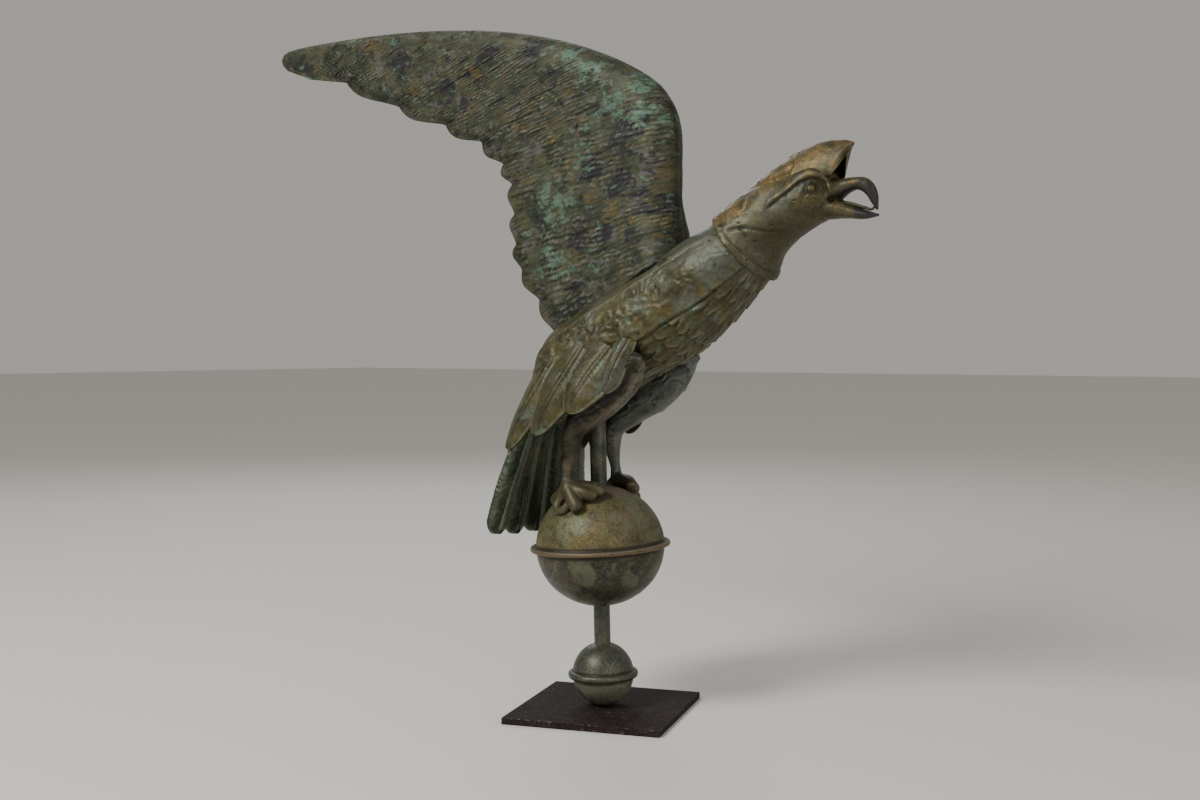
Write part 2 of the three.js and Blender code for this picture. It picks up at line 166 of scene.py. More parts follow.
def writePoints(mesh, points):
    mesh.vertices.foreach_set("co", points.astype(np.float32).ravel())
    mesh.update()


def readNormals(mesh):
    flat = np.empty(len(mesh.vertices) * 3, np.float32)
    mesh.vertex_normals.foreach_get("vector", flat)
    return flat.reshape(-1, 3).astype(float)


def writeMark(mesh, name, values):
    # a number kept at each vertex for the materials to read
    layer = mesh.attributes.get(name) or mesh.attributes.new(name, "FLOAT", "POINT")
    layer.data.foreach_set("value", np.clip(values, 0, 1).astype(np.float32))


def closedForm(name, around, rings, surface):
    # a ball of faces laid over surface(t, angle); the poles sit in the middle of the first and last rings
    shape = bmesh.new()
    bmesh.ops.create_uvsphere(shape, u_segments=around, v_segments=rings, radius=1)
    mesh = bpy.data.meshes.new(name)
    shape.to_mesh(mesh)
    unit = readPoints(mesh)
    ring = np.rint(np.arccos(np.clip(unit[:, 2], -1, 1)) / math.pi * rings)
    t = np.clip((ring - 1) / (rings - 2), 0, 1)
    angle = np.arctan2(unit[:, 1], unit[:, 0])
    points = surface(t, angle)
    points[ring == 0] = points[ring == 1].mean(axis=0)
    points[ring == rings] = points[ring == rings - 1].mean(axis=0)
    writePoints(mesh, points)
    shape.clear()
    shape.from_mesh(mesh)
    if shape.calc_volume(signed=True) < 0:
        bmesh.ops.reverse_faces(shape, faces=shape.faces)
        shape.to_mesh(mesh)
    shape.free()
    return mesh, t, angle


def joinedMesh(name, meshes):
    shape = bmesh.new()
    for mesh in meshes:
        shape.from_mesh(mesh)
    whole = meshFrom(shape, name)
    for mesh in meshes:
        bpy.data.meshes.remove(mesh)
    return whole


def fused(name, meshes, voxel, soften):
    # several closed forms, in millimetres, grown together into one skin and smoothed
    worker = placed("worker", joinedMesh(name, meshes))
    skin = worker.modifiers.new("skin", "REMESH")
    skin.mode = "VOXEL"
    skin.voxel_size = voxel
    skin.use_smooth_shade = True
    made = bpy.data.meshes.new_from_object(worker.evaluated_get(bpy.context.evaluated_depsgraph_get()))
    bpy.data.objects.remove(worker)
    shape = bmesh.new()
    shape.from_mesh(made)
    for _ in range(soften):
        bmesh.ops.smooth_vert(
            shape, verts=shape.verts, factor=0.5, use_axis_x=True, use_axis_y=True, use_axis_z=True
        )
    shape.to_mesh(made)
    shape.free()
    return made


def carve(mesh, points, height, mark):
    # pushes each vertex out by its height; the mark says how high and rubbed it stands among its neighbours, and in
    # places also carries painted shade and painted highlight
    writePoints(mesh, points + readNormals(mesh) * height[:, None])
    writeMark(mesh, "relief", mark)


def addPiece(name, mesh, node, material, leaning=True):
    points = readPoints(mesh)
    if leaning:
        points = points @ leanBy(lean["eagle"]).T
    writePoints(mesh, points * mm)
    mesh.polygons.foreach_set("use_smooth", [True] * len(mesh.polygons))
    mesh.materials.clear()
    mesh.materials.append(material)
    mesh.name = name
    piece = placed(name, mesh)
    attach(piece, "root")
    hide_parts(node)
    print(name, len(mesh.polygons), "faces")


# Materials

def node(tree, kind, **settings):
    made = tree.nodes.new(kind)
    for key, value in settings.items():
        setattr(made, key, value)
    return made


def feed(tree, made, sockets):
    # gives each socket a number, a colour or another node's output
    for socket, value in sockets.items():
        if isinstance(value, (int, float)):
            made.inputs[socket].default_value = value
        elif isinstance(value, tuple):
            made.inputs[socket].default_value = (*value, 1)
        else:
            tree.links.new(value, made.inputs[socket])


def ramp(tree, stops, source):
    made = node(tree, "ShaderNodeValToRGB")
    while len(made.color_ramp.elements) < len(stops):
        made.color_ramp.elements.new(0.5)
    for element, (place, color) in zip(made.color_ramp.elements, stops):
        element.position = place
        element.color = (*color, 1)
    feed(tree, made, {"Fac": source})
    return made.outputs["Color"]


def mixed(tree, share, low, high, blend="MIX"):
    made = node(tree, "ShaderNodeMix", data_type="RGBA", blend_type=blend)
    feed(tree, made, {0: share, 6: low, 7: high})
    return made.outputs[2]


def scaledSum(tree, value, scale, added):
    made = node(tree, "ShaderNodeMath", operation="MULTIPLY_ADD")
    feed(tree, made, {0: value, 1: scale, 2: added})
    return made.outputs[0]


def painted(tree, name):
    return node(tree, "ShaderNodeAttribute", attribute_name=name).outputs["Fac"]


def lumps(tree, place, scale, detail=4.0, roughness=0.6, distortion=0.0, offset=(0, 0, 0), stretch=1.0):
    mapping = node(tree, "ShaderNodeMapping")
    mapping.inputs["Location"].default_value = offset
    mapping.inputs["Scale"].default_value = (1, 1, stretch)
    feed(tree, mapping, {"Vector": place})
    made = node(tree, "ShaderNodeTexNoise")
    feed(tree, made, {"Scale": scale, "Detail": detail, "Roughness": roughness, "Distortion": distortion})
    feed(tree, made, {"Vector": mapping.outputs["Vector"]})
    return made.outputs["Fac"]


def patch(scale, low, high, strength, color, **extra):
    # patches of one colour, that show where the noise, pulled up by a painted mark, passes from low to high;
    # a line shows only as it passes
    usual = {"detail": 6, "breakUp": 0.62, "swirl": 0.6, "stretch": 1.0, "where": None, "line": False}
    return {**usual, "scale": scale, "low": low, "high": high, "strength": strength, "color": color, **extra}


black, white = (0, 0, 0), (1, 1, 1)
patinaLook = {
    "broadScale": 38,
    "fineScale": 420,
    "patchShift": 3.7,
    "rubbed": (0.80, 1.0),
    "dirt": (0.0, 0.26, 0.46),
    "coatRoughness": 0.38,
    "bump": 0.55,
    "bumpDistance": 0.0006,
}


def patina(
    name, tones, patches=(), roughness=(0.42, 0.68), metallic=0.45,
    hollow=0.75, ridgeTone=None, ridge=0.3, seed=0.0, coat=0.1, specular=0.4,
):
    # copper under patina: broad tones, then patches, then dark hollows and rubbed ridges from the relief mark, which
    # in places also carries painted shade and painted highlight
    material = bpy.data.materials.new(name)
    material.use_nodes = True
    tree = material.node_tree
    tree.nodes.clear()
    place = node(tree, "ShaderNodeTexCoord").outputs["Object"]
    shift = (seed, seed * 0.37, -seed * 0.61)
    broad = lumps(tree, place, patinaLook["broadScale"], detail=5, distortion=0.4, offset=shift)
    color = ramp(tree, tones, broad)
    for i, spec in enumerate(patches):
        offset = (shift[0] + patinaLook["patchShift"] * (i + 1), shift[1], shift[2])
        grain = spec["detail"], spec["breakUp"], spec["swirl"]
        spots = lumps(tree, place, spec["scale"], *grain, offset, spec["stretch"])
        if spec["where"]:
            spots = scaledSum(tree, painted(tree, spec["where"]), spec["pull"], spots)
        low, high = spec["low"], spec["high"]
        stops = [(low, black), (high, (spec["strength"],) * 3)]
        if spec["line"]:
            stops.append((2 * high - low, black))
        color = mixed(tree, ramp(tree, stops, spots), color, spec["color"])
    relief = painted(tree, "relief")
    fine = lumps(tree, place, patinaLook["fineScale"], offset=shift)
    if ridgeTone:
        low, high = patinaLook["rubbed"]
        share = ramp(tree, [(low, black), (high, (ridge, ridge, ridge))], scaledSum(tree, fine, 0.3, relief))
        color = mixed(tree, share, color, ridgeTone)
    deep, middle, clean = patinaLook["dirt"]
    stops = [(deep, (1 - hollow,) * 3), (middle, (1 - hollow * 0.55,) * 3), (clean, white)]
    color = mixed(tree, 1.0, color, ramp(tree, stops, scaledSum(tree, fine, -0.16, relief)), "MULTIPLY")
    speck = ramp(tree, [(0.3, (0.72,) * 3), (0.5, white), (0.72, (1.22, 1.2, 1.16))], fine)
    color = mixed(tree, 0.75, color, speck, "MULTIPLY")
    rough = node(tree, "ShaderNodeMapRange")
    feed(tree, rough, {"To Min": roughness[0], "To Max": roughness[1], "Value": broad})
    bump = node(tree, "ShaderNodeBump")
    feed(tree, bump, {"Strength": patinaLook["bump"], "Distance": patinaLook["bumpDistance"], "Height": fine})
    shader = node(tree, "ShaderNodeBsdfPrincipled")
    feed(tree, shader, {
        "Base Color": color,
        "Roughness": rough.outputs["Result"],
        "Normal": bump.outputs["Normal"],
        "Metallic": metallic,
        "Coat Weight": coat,
        "Coat Roughness": patinaLook["coatRoughness"],
        "Specular IOR Level": specular,
    })
    out = node(tree, "ShaderNodeOutputMaterial")
    feed(tree, out, {"Surface": shader.outputs["BSDF"]})
    return material


lilac = (0.11, 0.098, 0.10)

wingCopper = patina(
    "wingCopper",
    [
        (0.28, (0.016, 0.021, 0.015)), (0.42, (0.034, 0.041, 0.028)), (0.56, (0.058, 0.065, 0.041)),
        (0.74, (0.084, 0.082, 0.043)),
    ],
    [
        patch(42, 0.55, 0.62, 0.4, (0.100, 0.078, 0.030), stretch=1.9),
        patch(46, 0.54, 0.62, 0.65, lilac, stretch=1.9),
        patch(55, 0.57, 0.66, 0.9, (0.022, 0.022, 0.027), where="sootAndShade", pull=0.3, stretch=1.6),
        patch(70, 0.59, 0.70, 0.6, (0.120, 0.088, 0.028), where="rubbing", pull=0.19, stretch=1.6),
        patch(
            95, 0.58, 0.67, 0.8, (0.098, 0.178, 0.132),
            where="verdigris", pull=0.19, stretch=1.6, swirl=0.4, breakUp=0.7,
        ),
    ],
    ridgeTone=(0.20, 0.20, 0.15),
    ridge=0.36,
    metallic=0.28,
    roughness=(0.50, 0.74),
    coat=0.02,
    specular=0.28,
    seed=2.0,
)
bodyCopper = patina(
    "bodyCopper",
    [
        (0.26, (0.022, 0.021, 0.009)), (0.42, (0.042, 0.040, 0.016)), (0.58, (0.068, 0.062, 0.023)),
        (0.76, (0.088, 0.078, 0.032)),
    ],
    [
        patch(30, 0.56, 0.70, 0.6, lilac),
        patch(46, 0.58, 0.70, 0.6, (0.12, 0.075, 0.018)),
        patch(75, 0.55, 0.66, 0.8, (0.080, 0.125, 0.085), swirl=0.8),
        patch(30, 0.50, 0.68, 0.75, (0.096, 0.108, 0.092), where="calm", pull=0.14),
    ],
    ridgeTone=(0.22, 0.21, 0.14),
    ridge=0.35,
    metallic=0.35,
    roughness=(0.36, 0.6),
    coat=0.05,
    specular=0.3,
    seed=5.0,
)
headCopper = patina(
    "headCopper",
    [
        (0.26, (0.026, 0.026, 0.012)), (0.42, (0.044, 0.043, 0.020)), (0.58, (0.060, 0.056, 0.028)),
        (0.76, (0.076, 0.069, 0.038)),
    ],
    [
        patch(34, 0.56, 0.70, 0.5, lilac),
        patch(60, 0.52, 0.74, 0.75, (0.165, 0.108, 0.034), where="rubbing", pull=0.14),
        patch(70, 0.62, 0.70, 0.5, (0.08, 0.12, 0.085), swirl=0.8),
        patch(32, 0.50, 0.68, 0.65, (0.088, 0.094, 0.060), where="calm", pull=0.14),
        patch(60, 0.66, 0.86, 0.9, (0.030, 0.027, 0.032), where="beak", pull=0.42),
        # painted shade: dark teal in the eye socket under the brow
        patch(60, 0.60, 0.85, 0.55, (0.034, 0.050, 0.043), where="sootAndShade", pull=0.4),
        patch(36, 0.60, 0.90, 0.8, (0.040, 0.038, 0.016), where="shade", pull=0.34),
    ],
    ridgeTone=(0.22, 0.16, 0.07),
    ridge=0.35,
    metallic=0.4,
    roughness=(0.36, 0.56),
    coat=0.04,
    specular=0.3,
    seed=6.0,
)
legCopper = patina(
    "legCopper",
    [(0.28, (0.028, 0.028, 0.018)), (0.46, (0.056, 0.053, 0.034)), (0.64, (0.092, 0.082, 0.052))],
    [
        patch(40, 0.55, 0.68, 0.5, (0.085, 0.080, 0.076)),
        patch(60, 0.60, 0.70, 0.6, (0.08, 0.10, 0.055)),
        # painted shade on the thigh's upper side, under the coverts
        patch(70, 0.56, 0.68, 0.85, (0.016, 0.018, 0.013), where="sootAndShade", pull=0.22),
        patch(50, 0.60, 0.80, 0.6, (0.090, 0.080, 0.042), where="smear", pull=0.3),
    ],
    ridgeTone=(0.20, 0.19, 0.15),
    ridge=0.6,
    roughness=(0.38, 0.60),
    coat=0.03,
    specular=0.25,
    seed=8.0,
)
farLegCopper = patina(
    "farLegCopper",
    [(0.28, (0.036, 0.044, 0.042)), (0.46, (0.078, 0.090, 0.080)), (0.64, (0.125, 0.130, 0.112))],
    [
        patch(78, 0.53, 0.61, 0.9, (0.016, 0.018, 0.024)),
        patch(60, 0.56, 0.64, 0.85, (0.125, 0.170, 0.145)),
        patch(52, 0.57, 0.66, 0.7, (0.13, 0.115, 0.12)),
        patch(50, 0.60, 0.80, 0.85, (0.115, 0.098, 0.052), where="smear", pull=0.3),
    ],
    ridgeTone=(0.18, 0.20, 0.17),
    ridge=0.5,
    roughness=(0.34, 0.56),
    seed=9.0,
)
tailCopper = patina(
    "tailCopper",
    [(0.3, (0.020, 0.031, 0.022)), (0.5, (0.049, 0.066, 0.043)), (0.7, (0.095, 0.100, 0.060))],
    [
        patch(40, 0.56, 0.68, 0.7, (0.095, 0.075, 0.028)),
        patch(60, 0.60, 0.68, 0.6, (0.012, 0.014, 0.016)),
    ],
    ridgeTone=(0.15, 0.18, 0.13),
    ridge=0.7,
    roughness=(0.28, 0.48),
    seed=11.0,
)
ballCopper = patina(
    "ballCopper",
    [
        (0.28, (0.040, 0.034, 0.017)), (0.42, (0.078, 0.066, 0.030)), (0.58, (0.116, 0.094, 0.038)),
        (0.76, (0.155, 0.112, 0.036)),
    ],
    [
        patch(30, 0.50, 0.59, 0.75, (0.115, 0.135, 0.072), where="smear", pull=0.07, swirl=1.6),
        patch(24, 0.54, 0.64, 0.65, (0.150, 0.108, 0.036), swirl=0.9),
        patch(50, 0.60, 0.68, 0.7, (0.035, 0.030, 0.022)),
        patch(60, 0.465, 0.50, 0.5, (0.18, 0.185, 0.10), swirl=2.2, detail=2.5, line=True),
        patch(66, 0.525, 0.56, 0.6, (0.020, 0.018, 0.012), swirl=2.4, detail=2.5, line=True),
        # painted light: the ball's crown and the ring's upper face paler, as lit from above
        patch(20, 0.55, 0.80, 0.6, (0.15, 0.125, 0.11), where="paintedTopLight", pull=0.45),
        patch(50, 0.80, 1.05, 0.8, (0.16, 0.088, 0.05), where="lipEdge", pull=0.58),
    ],
    roughness=(0.46, 0.64),
    metallic=0.35,
    seed=14.0,
    specular=0.3,
)
undersideCopper = patina(
    "undersideCopper",
    [(0.3, (0.014, 0.013, 0.010)), (0.5, (0.034, 0.031, 0.022)), (0.7, (0.070, 0.062, 0.038))],
    [
        patch(26, 0.51, 0.60, 0.85, (0.090, 0.105, 0.062), swirl=1.4),
        patch(60, 0.465, 0.50, 0.5, (0.13, 0.135, 0.085), swirl=2.2, detail=2.5, line=True),
    ],
    roughness=(0.34, 0.55),
    seed=17.0,
)
poleCopper = patina(
    "poleCopper",
    [(0.3, (0.025, 0.030, 0.027)), (0.5, (0.054, 0.058, 0.046)), (0.7, (0.105, 0.098, 0.068))],
    [
        patch(60, 0.56, 0.66, 0.7, (0.03, 0.04, 0.04)),
        patch(80, 0.465, 0.50, 0.4, (0.17, 0.18, 0.13), swirl=2.2, detail=2.5, line=True),
    ],
    roughness=(0.32, 0.52),
    seed=20.0,
)
# painted light: the small ball's lower cup sits in shade and gets much brighter tones than the cup above
paintedLightCopper = patina(
    "paintedLightCopper",
    [(0.3, (0.12, 0.13, 0.095)), (0.5, (0.22, 0.23, 0.165)), (0.7, (0.32, 0.31, 0.22))],
    [patch(60, 0.56, 0.66, 0.6, (0.05, 0.055, 0.045))],
    roughness=(0.32, 0.52),
    seed=21.0,
)
blackSteel = patina(
    "blackSteel",
    [(0.3, (0.014, 0.0095, 0.009)), (0.5, (0.020, 0.014, 0.0135)), (0.75, (0.031, 0.023, 0.022))],
    [
        patch(26, 0.58, 0.80, 0.3, (0.10, 0.080, 0.075)),
        patch(34, 0.485, 0.50, 0.25, (0.12, 0.11, 0.105), swirl=3.0, line=True),
        patch(300, 0.62, 0.72, 0.8, (0.22, 0.19, 0.18), where="edge", pull=0.12),
    ],
    hollow=0.0,
    metallic=0.0,
    roughness=(0.6, 0.85),
    seed=23.0,
    coat=0.0,
    specular=0.1,
)

# Wings: two scaled shells back to back, drawn as ribs from the leading edge to the notches behind

wing = {
    "lead": [
        (104, 432), (99, 462), (96, 487), (97, 512), (98, 539), (94, 564), (78, 590), (43, 614), (-18, 641),
        (-96, 663), (-209, 680), (-343, 687), (-407, 684.5), (-416.5, 678.5),
    ],
    "trail": [
        (-43, 362), (-66, 398), (-87, 428), (-93, 454), (-95, 484), (-97, 513), (-107, 534), (-135, 558),
        (-182, 580), (-245, 606), (-321, 641), (-375, 651), (-410, 665.5), (-417.2, 671.5),
    ],
    "thick": [36, 30, 26.5, 25, 24, 23, 22, 20, 17, 14, 11, 9, 7, 3],
    "feathers": 10,
    "bulge": 6.5,
    "bluntShare": 0.16,
    "frontColumns": 0.22,
    "edgeShare": 0.1,
    "around": 150,
    "rings": 650,
    "rowPitch": 5.2,
    "rowTurn": 0.2,
    "scaleLength": (5.5, 10.5),
    "scaleHeight": 1.7,
    "tierPitch": 24.0,
    "tierHeight": 1.5,
    "rim": 3.5,
    "greenSpots": [
        (-12, 626, 14, 0.9), (14, 607, 14, 0.8), (65, 589, 16, 0.8), (38, 572, 14, 0.8), (67, 561, 13, 0.8),
        (2, 531, 14, 0.6), (95, 555, 12, 0.6), (-23, 487, 14, 0.8), (-52, 499, 12, 0.8), (-44, 472, 13, 0.7),
        (-43, 438, 14, 0.8), (22, 429, 16, 0.5), (-32, 421, 12, 0.5), (-75, 635, 12, 0.3),
        (-307, 670, 12, 0.4), (-250, 629, 12, 0.5), (12, 559, 14, 0.4), (-70, 410, 14, 0.4),
    ],
    "darkSpots": [
        (64, 551, 13, 0.9), (48, 542, 13, 0.7), (-107, 641, 14, 0.7), (-57, 638, 12, 0.8),
        (-237, 648, 14, 0.9), (-171, 618, 14, 0.8), (-378, 667, 14, 0.7), (11, 512, 15, 0.8),
        (44, 500, 14, 0.8), (75, 487, 14, 0.7), (-4, 453, 16, 0.8), (29, 456, 14, 0.8), (-27, 607, 12, 0.6),
        (100, 480, 9, 0.7), (-149, 594, 10, 0.4), (-12, 398, 12, 0.5), (68, 448, 12, 0.4), (92, 600, 12, 0.5),
    ],
    "ochreSpots": [
        (-193, 664, 11, 0.9), (-275, 671, 12, 0.7), (95, 505, 9, 0.95), (-42, 551, 11, 0.9),
        (-77, 569, 11, 0.7), (36, 474, 13, 0.8), (68, 463, 13, 0.8), (-133, 632, 12, 0.5),
        (-97, 616, 11, 0.5), (93, 457, 12, 0.7), (-250, 635, 8, 0.6), (10, 484, 10, 0.6), (96, 581, 10, 0.5),
        (53, 618, 10, 0.5), (-134, 598, 12, 0.5), (48, 417, 12, 0.5),
    ],
}


def wingEdges(t):
    ribs = len(wing["trail"]) - 1
    lead = spline(wing["lead"], t)
    place = t * ribs
    feather = np.minimum(np.floor(place + 1e-6).astype(int), ribs - 1)
    s = np.clip(place - feather, 0, 1)
    notches = np.asarray(wing["trail"], float)
    start, end = notches[feather], notches[feather + 1]
    run = (end - start) / np.linalg.norm(end - start, axis=1)[:, None]
    outward = np.column_stack([run[:, 1], -run[:, 0]])
    bulge = np.where(feather < wing["feathers"], wing["bulge"] * np.sin(math.pi * s**1.7), 0)
    trail = start + (end - start) * s[:, None] - outward * bulge[:, None]
    return lead, trail, feather, s


def evenShares(steps=1200):
    # rib shares spaced evenly along the middle of the wing
    t = np.linspace(0, 1, steps)
    lead, trail, _, _ = wingEdges(t)
    middle = (lead + trail) / 2
    length = np.concatenate([[0], np.cumsum(np.linalg.norm(np.diff(middle, axis=0), axis=1))])
    return t, length


wingShares, wingLengths = evenShares()


def wingShare(angle):
    # the share of the way from the leading edge, with enough columns round the blunt front, and the turn there
    x = np.abs(angle) / math.pi
    front, blunt = wing["frontColumns"], wing["bluntShare"]
    turned = np.clip(x / front, 0, 1) * math.pi / 2
    share = np.where(x < front, blunt * (1 - np.cos(turned)), blunt + (1 - blunt) * (x - front) / (1 - front))
    return share, turned


def wingHalf(t, u):
    past = np.maximum(0, (u - wing["bluntShare"]) / (1 - wing["bluntShare"]))
    blunt = np.sqrt(1 - np.maximum(0, 1 - u / wing["bluntShare"]) ** 2)
    return valueAlong(wing["thick"], t) * blunt * (1 - (1 - wing["edgeShare"]) * past**1.15)


def wingSurface(even, angle):
    t = np.interp(even * wingLengths[-1], wingLengths, wingShares)
    lead, trail, _, _ = wingEdges(t)
    u, _ = wingShare(angle)
    half = np.where(u > 0.999, 0, wingHalf(t, u))
    flat = lead + (trail - lead) * u[:, None]
    return np.column_stack([flat[:, 0], np.sign(angle) * half, flat[:, 1] - drawnDrop])


def wingRelief(points, even, angle):
    t = np.interp(even * wingLengths[-1], wingLengths, wingShares)
    lead, trail, feather, s = wingEdges(t)
    u, turned = wingShare(angle)
    span = np.linalg.norm(trail - lead, axis=1)
    thick = valueAlong(wing["thick"], t)
    nose = math.pi / 2 * np.sqrt(((wing["bluntShare"] * span) ** 2 + thick**2) / 2)
    across = nose * turned / (math.pi / 2) + np.maximum(0, u - wing["bluntShare"]) * span
    fromTrail = (1 - u) * span
    along = even * wingLengths[-1]
    side = np.sign(angle)
    flat = np.column_stack([along, across, side * 400])
    # rows of small scales that lap downwards
    wave = 3.0 * softNoise(flat, 40, 3) + 2.4 * softNoise(flat, 15, 4) + 1.5 * softNoise(flat, 6, 2)
    row = (along - wing["rowTurn"] * across + wave) / wing["rowPitch"]
    number = np.floor(row)
    v = row - number
    cells = np.column_stack([number, side * 31])
    low, high = wing["scaleLength"]
    dash = across / (low + (high - low) * hashed(cells, 5)) + hashed(cells, 6) * 7 + 0.45 * softNoise(flat, 9, 7)
    count = np.floor(dash)
    f = dash - count
    single = np.column_stack([number, count, side * 31])
    size = 0.3 + 0.7 * hashed(single, 8)
    size = np.where(hashed(single, 9) < 0.2, 0.12, size)
    ends = step(0, 0.26, f) * step(0, 0.26, 1 - f)
    rounded = v + 0.3 * (1 - ends)
    profile = step(0.02, 0.26, v) * (1 - 0.85 * step(0.34, 1.05, rounded))
    scale = profile * (0.2 + 0.8 * ends) * size
    # longer steps between tiers of rows
    wave = 5 * softNoise(flat, 60, 10) + 2 * softNoise(flat, 21, 11)
    tier = (along - wing["rowTurn"] * across + wave) / wing["tierPitch"]
    tierNumber = np.floor(tier)
    w = tier - tierNumber
    broken = step(-0.45, 0.15, softNoise(np.column_stack([tierNumber * 40, across, side * 90]), 34, 12))
    tiers = step(0, 0.06, w) * (1 - w) ** 1.6 * broken
    tip = step(0.84, 0.92, even)
    nearRim = step(wing["rim"] - 1, wing["rim"] + 5, across)
    nearTrail = step(5, 12, fromTrail)
    patchy = 0.4 + 0.6 * step(-0.5, 0.4, softNoise(flat, 20, 18))
    scaled = nearRim * (0.2 + 0.8 * nearTrail) * (1 - tip) * patchy
    low = 0.08 + 0.92 * step(10, 40, across)
    height = (wing["scaleHeight"] * scale + wing["tierHeight"] * tiers) * scaled * low
    slot = bell(v - 0.02, 0.13) * ends
    mark = 0.58 + scaled * (0.55 * scale - 0.1 - 0.55 * slot) - 0.4 * scaled * broken * bell(w - 0.985, 0.03)
    # the rim strip along the leading edge, with a shallow valley behind it
    height -= 0.8 * bell(across - wing["rim"] - 1, 2.2) * (1 - tip)
    mark -= 0.2 * bell(across - wing["rim"] - 1, 2.0) * (1 - tip)
    # feather tips: rounded between the notches, with short pressed strokes
    inFeather = np.where(feather < wing["feathers"], np.sin(math.pi * s**0.8), 0.6)
    height += (1.8 * inFeather - 1.2) * step(34, 5, fromTrail) * (1 - tip)
    mark -= 0.3 * (1 - inFeather) ** 2 * step(26, 8, fromTrail) * (1 - tip)
    stroke = step(0.3, 0.9, ripple(along / 4.6 + 0.8 * softNoise(flat, 10, 13)))
    pressed = stroke * bell(fromTrail - 10 - 4 * softNoise(flat, 12, 19), 3.6) * (1 - tip)
    height -= 0.8 * pressed
    mark -= 0.4 * pressed
    # the outer feathers' barbs run down and back
    barb = ripple((points[:, 0] * 0.6 + points[:, 2] * 0.8) / 4.6 + 1.3 * softNoise(points, 15, 14))
    outer = step(0.66, 0.76, even) * step(46, 20, fromTrail) * (1 - tip * 0.7)
    height += 0.45 * barb * outer
    mark += 0.14 * barb * outer
    height += 1.6 * roughNoise(points, 24, 15) * step(0, 30, across)
    fine = roughNoise(points, 5, 16)
    height += 0.25 * fine
    pits = step(0.66, 0.86, softNoise(points, 4.0, 17))
    height -= 0.7 * pits
    mark += 0.08 * fine - 0.4 * pits
    height *= 0.25 + 0.75 * step(1.0, 6, across)
    height *= 0.3 + 0.7 * step(0, 4, fromTrail)
    return height, mark


def spotted(points, spots):
    # soft painted spots, each a flat place with a reach, the same on both sides
    total = np.zeros(len(points))
    for x, z, reach, weight in spots:
        total += weight * bell(np.hypot(points[:, 0] - x, points[:, 2] - z), reach)
    return total


mesh, even, angle = closedForm("wings", wing["around"], wing["rings"], wingSurface)
points = readPoints(mesh)
carve(mesh, points, *wingRelief(points, even, angle))
writeMark(mesh, "verdigris", spotted(points, wing["greenSpots"]))
writeMark(mesh, "sootAndShade", spotted(points, wing["darkSpots"]))
writeMark(mesh, "rubbing", spotted(points, wing["ochreSpots"]))
addPiece("wingShells", mesh, "wings", wingCopper)

# Trunk, from inside the collar to the rump

trunk = {
    "top": [
        (139, 462), (134, 458), (109, 447), (82, 434), (52, 419), (20, 402), (-13, 384), (-41, 365),
        (-50, 339), (-59, 313), (-63, 292),
    ],
    "bottom": [
        (192, 413), (186, 410), (161, 385), (134, 361), (105, 341), (72, 327), (34, 308), (2, 293),
        (-20, 285), (-38, 280), (-52, 277),
    ],
    "width": [35.5, 36.5, 42, 46, 48.5, 51, 53.5, 53.5, 50, 43, 32],
    "length": 330,
    "girth": 46,
    "seam": ([0, 0.10, 0.18, 0.24, 0.30, 0.36, 0.46, 0.6, 1], [2.42, 2.32, 2.21, 2.16, 2.07, 2.01, 2.04, 2.1, 2.2]),
    "flange": ([0, 0.06, 0.14, 0.18, 0.3, 0.6, 1], [1.25, 1.13, 0.97, 0.92, 0.93, 0.89, 0.85]),
    "breastFeather": (20.0, 12.5),
}


def midForm(spec, t, angle, ridge):
    # an oval between two drawn lines; the ridge narrows its upper half
    top, bottom = spline(spec["top"], t), spline(spec["bottom"], t)
    flat = (top + bottom) / 2 + (top - bottom) / 2 * np.cos(angle)[:, None]
    narrow = 1 - ridge * np.maximum(0, np.cos(angle)) ** 2
    wide = valueAlong(spec["width"], t) * np.sin(angle) * narrow
    return np.column_stack([flat[:, 0], wide, flat[:, 1] - drawnDrop])


def midMesh(name, spec, around, rings, ridge=0.0):
    return closedForm(name, around, rings, lambda t, angle: midForm(spec, t, angle, ridge))


def lappedFeathers(a, b, seed, reach=0.62):
    # rounded feathers in staggered rows; a runs towards their tips and b across, both counted in feathers
    height = np.zeros(len(a))
    chosen = np.zeros(len(a), bool)
    number = np.zeros(len(a))
    offset = np.zeros(len(a))
    for back in (1, 0):
        row = np.floor(a) - back
        across = b + 0.5 * (row % 2) + 0.22 * (hashed(np.column_stack([row]), seed) - 0.5)
        column = np.floor(across)
        x = (across - column - 0.5) * 2
        cells = np.column_stack([row, column])
        tip = 1 + reach * np.sqrt(np.maximum(0, 1 - x**2)) + 0.16 * (hashed(cells, seed + 1) - 0.5)
        y = a - row
        inside = (y < tip) & ~chosen
        height[inside] = (y[inside] / tip[inside]) ** 1.5
        number[inside] = hashed(cells, seed + 2)[inside]
        offset[inside] = x[inside]
        chosen |= inside
    return height, number, offset


